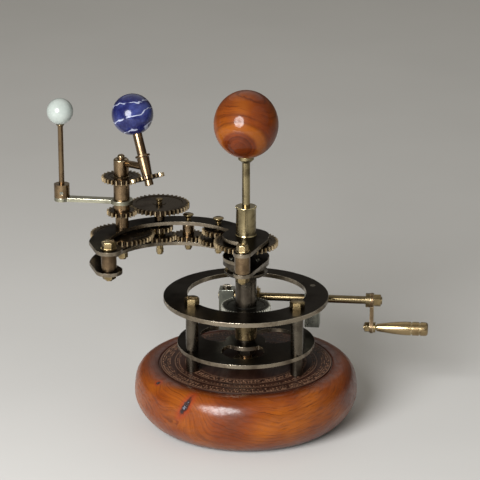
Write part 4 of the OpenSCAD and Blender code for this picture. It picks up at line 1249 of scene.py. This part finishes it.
@dataclass
class CrankDrive(Assembly):
    """Crank shaft, worm, crank and handle."""

    pitch_mm: float = 0.65 * math.pi
    root_mm: float = 6.4 - 0.82
    tip_mm: float = 6.4 + 0.58
    bore_mm: float = 2.6
    run_out_mm: float = 0.4
    steps: int = 96
    dressed: tuple[tuple[str, MetalFinish, float], ...] = (
        ("crank_shaft", SHAFT, 0.22),
        ("shaft_collars", SHAFT, 0.22),
        ("crank_arm", CHAMPAGNE, 0.4),
        ("crank_nuts", BRASS, 0.3),
        ("handle_grip", GRIP, 0.25),
    )

    def build(self) -> None:
        """Makes the worm's thread and dresses the rest."""
        self.cut_worm()
        for node, finish, bevel_mm in self.dressed:
            self.bench.machined(node, finish, Slot.BRASS, bevel_mm)

    def cut_worm(self) -> None:
        """Cuts the worm as one surface: the radius rises where the distance along, less the turn, is a ridge.

        With u the place along in pitches less the turn, the ridge's height is a trapezium of u's distance
        from the nearest whole number.
        """
        origin, axis = self.bench.axis("worm")
        flat = axis_frame(self.bench.points("worm"), origin, axis)
        low, high = flat[:, 2].min(), flat[:, 2].max()
        reach = np.hypot(flat[:, 0], flat[:, 1])
        crest = flat[reach > (self.tip_mm - 0.02) * MM]
        along = crest[:, 2] / (self.pitch_mm * MM) - np.arctan2(crest[:, 1], crest[:, 0]) / TAU
        phase = mean_turn(along * TAU) / TAU
        ends = crest[:, 2].min(), crest[:, 2].max()
        s = np.linspace(low, high, 240)[:, None]
        angle = (np.arange(self.steps) * TAU / self.steps)[None, :]
        u = s / (self.pitch_mm * MM) - angle / TAU - phase
        ridge = np.clip((0.31 - np.abs(u - np.round(u))) / 0.2, 0, 1)
        for inside in (s - ends[0], ends[1] - s):
            ridge = ridge * np.clip(inside / (self.run_out_mm * MM) + 1, 0, 1)
        radius = (self.root_mm + (self.tip_mm - self.root_mm) * ridge) * MM
        first, last = (polar(self.bore_mm * MM, angle, end) for end in (low, high))
        points = np.concatenate([first, polar(radius, angle, s), last])
        piece = surface("worm_cut", stood(points, origin, axis), wrap_rows=True)
        sharpen(piece, 40)
        piece.data.materials.append(BRASS.material())
        self.bench.fit(piece, Slot.BRASS, "worm")


@dataclass
class Metalwork(Assembly):
    """Plates, pillars, posts, tubes and fasteners: copies of their nodes with broken edges."""

    plates: tuple[str, ...] = ("ring_plate", "lower_plate", "arm_plate_upper", "arm_plate_lower")
    groups: tuple[tuple[MetalFinish, Slot, float, str], ...] = (
        (GUNMETAL, Slot.DARK_BRASS, 0.22, "pillars base_feet column_tube column_flange"),
        (GUNMETAL, Slot.DARK_BRASS, 0.22, "bearing_screws post_nuts"),
        (SILVER, Slot.STEEL, 0.2, "left_bearing right_bearing flange_screws moon_screw"),
        (CHAMPAGNE, Slot.BRASS, 0.22, "centre_post earth_bush earth_spindle carrier_collar tilt_bracket"),
        (CHAMPAGNE, Slot.BRASS, 0.22, "moon_tube moon_collar moon_rod earth_arbor"),
        (CHAMPAGNE, Slot.BRASS, 0.22, "first_idler_sleeve second_idler_collar tip_spacers"),
        (BRASS, Slot.BRASS, 0.3, "ring_bolts tip_bolts first_stud second_stud third_arbor spindle_nut"),
        (OLIVE, Slot.BRASS, 0.22, "sun_tube sun_rod"),
        (PEWTER, Slot.BRASS, 0.22, "moon_arm"),
    )

    def build(self) -> None:
        """Dresses every metal piece that is no wheel: the plates with painted dark reflection on their level
        faces and painted light on their rims, then the groups.
        """
        for node in self.plates:
            # Plates: painted light on the rims, painted dark reflection on the level faces.
            self.bench.machined(node, RIM_PAINTED_LIGHT, Slot.DARK_BRASS, 0.3, level=PLATE_PAINTED_DARK_REFLECTION)
        for finish, slot, bevel_mm, nodes in self.groups:
            for node in nodes.split():
                self.bench.machined(node, finish, slot, bevel_mm)


@dataclass
class WheelTrain(Assembly):
    """All the toothed wheels that mesh from the fixed Sun wheel to the Earth and the Moon."""

    wheels: tuple[ToothedWheel, ...] = (
        ToothedWheel("sun_wheel", 40, bore_mm=4.0, hub_mm=3.6),
        ToothedWheel("first_idler_upper", 20),
        ToothedWheel("first_idler_lower", 25),
        ToothedWheel("second_idler_wheel", 18),
        ToothedWheel("third_lower_wheel", 20),
        ToothedWheel("third_pinion", 16),
        ToothedWheel("moon_drive_wheel", 38, bore_mm=1.9),
        ToothedWheel("earth_wheel", 40, bore_mm=2.4),
        ToothedWheel("moon_wheel", 18, bore_mm=5.3),
        ToothedWheel("spin_wheel", 24, bore_mm=5.3, hub_mm=1.6),
        ToothedWheel("tilted_wheel", 20),
        ToothedWheel(
            "worm_wheel",
            48,
            module_mm=0.65,
            finish=NICKEL_TEETH,
            chamfer_mm=0.1,
            rim_mm=2.4,
            hub_mm=3.9,
            bore_mm=4.05,
            hub_finish=BRASS,
        ),
    )

    def build(self) -> None:
        """Cuts every wheel."""
        for wheel in self.wheels:
            wheel.build(self.bench)


@dataclass(frozen=True)
class Lamp:
    """A round soft lamp: its place and width in metres, and its power in watts."""

    name: str
    place: Triple
    size: float
    power: float
    aim: Triple = (-0.02, 0.0, 0.11)

    def hang(self) -> None:
        """Hangs the lamp, turned to its aim."""
        data = bpy.data.lights.new(self.name, "AREA")
        data.shape = "DISK"
        data.size = self.size
        data.energy = self.power
        lamp = placed(self.name, data)
        lamp.location = self.place
        toward = np.array(self.aim) - np.array(self.place)
        turn = math.atan2(toward[1], toward[0]) - math.pi / 2
        lamp.rotation_euler = (math.acos(-toward[2] / np.linalg.norm(toward)), 0.0, turn)


@dataclass
class Studio:
    """Pale floor, soft lights and the camera at the photograph's angle."""

    azimuth: float = 6.0
    elevation: float = 18.7
    distance: float = 1.56
    view_angle: float = 11.4
    aim_mm: float = 124.0
    aim_left_mm: float = 3.9
    floor_half: float = 4.0
    lamps: tuple[Lamp, ...] = (
        Lamp("Key", (-0.42, -1.12, 0.6), 0.8, 33.0),
        Lamp("Fill", (1.3, -0.6, 0.9), 2.2, 3.0),
        Lamp("Back", (-0.1, 0.9, 1.2), 1.8, 2.5),
    )
    room_strength: float = 0.52
    room: tuple[tuple[float, int, int, int], ...] = (
        (0.0, 150, 146, 136),
        (0.5, 80, 77, 70),
        (0.75, 168, 163, 150),
        (1.0, 206, 200, 186),
    )

    def build(self) -> None:
        """Sets up the whole studio."""
        self.camera()
        self.floor()
        for lamp in self.lamps:
            lamp.hang()
        self.surroundings()
        bpy.context.scene.view_settings.view_transform = "Standard"

    def camera(self) -> None:
        """Places the camera on a line through the aim, at the azimuth and elevation."""
        turn, rise = math.radians(self.azimuth), math.radians(self.elevation)
        right = np.array([math.cos(turn), math.sin(turn), 0.0])
        aim = np.array([0.0, 0.0, self.aim_mm * MM]) - self.aim_left_mm * MM * right
        back = np.array([math.sin(turn) * math.cos(rise), -math.cos(turn) * math.cos(rise), math.sin(rise)])
        data = bpy.data.cameras.new("Camera")
        data.sensor_width = 36.0
        data.lens = data.sensor_width / 2 / math.tan(math.radians(self.view_angle) / 2)
        camera = placed("Camera", data)
        camera.location = aim + back * self.distance
        camera.rotation_euler = (math.pi / 2 - rise, 0.0, turn)
        bpy.context.scene.camera = camera

    def floor(self) -> None:
        """Lays a wide pale floor: one level square."""
        corners = np.array([[[-1, -1, 0], [1, -1, 0]], [[-1, 1, 0], [1, 1, 0]]], float) * self.floor_half
        floor = surface("floor", corners, wrap_columns=False)
        material, sheet, shader = new_finish("Pale floor", roughness=0.9, specular_ior_level=0.1)
        grain = sheet.noise(sheet.position(), 6.0, 2.0)
        sheet.feed(shader.inputs["Base Color"], sheet.mix(grain, tone(200, 199, 197), tone(193, 192, 190)))
        floor.data.materials.append(material)

    def surroundings(self) -> None:
        """Fills the room with soft light, brighter overhead than at the horizon."""
        world = bpy.data.worlds.new("Room")
        bpy.context.scene.world = world
        world.use_nodes = True
        sheet = Sheet(world.node_tree)
        direction = sheet.add("SeparateXYZ")
        sheet.feed(direction.inputs[0], sheet.add("TexCoord").outputs["Generated"])
        height = sheet.math("MULTIPLY_ADD", direction.outputs["Z"], 0.5, 0.5, clamp=True)
        background = sheet.add("Background")
        sheet.fill(background, color=sheet.ramp(height, self.room), strength=self.room_strength)
        sheet.feed(sheet.add("OutputWorld").inputs["Surface"], background.outputs[0])


def main() -> None:
    """Builds the studio and every sub-assembly."""
    logging.basicConfig(level=logging.INFO, format="%(message)s")
    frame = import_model()
    bench = Bench(frame)
    Studio().build()
    for assembly in (WoodenBase, Balls, WheelTrain, CrankDrive, Metalwork):
        assembly(bench).build()


if __name__ == "__main__":
    main()
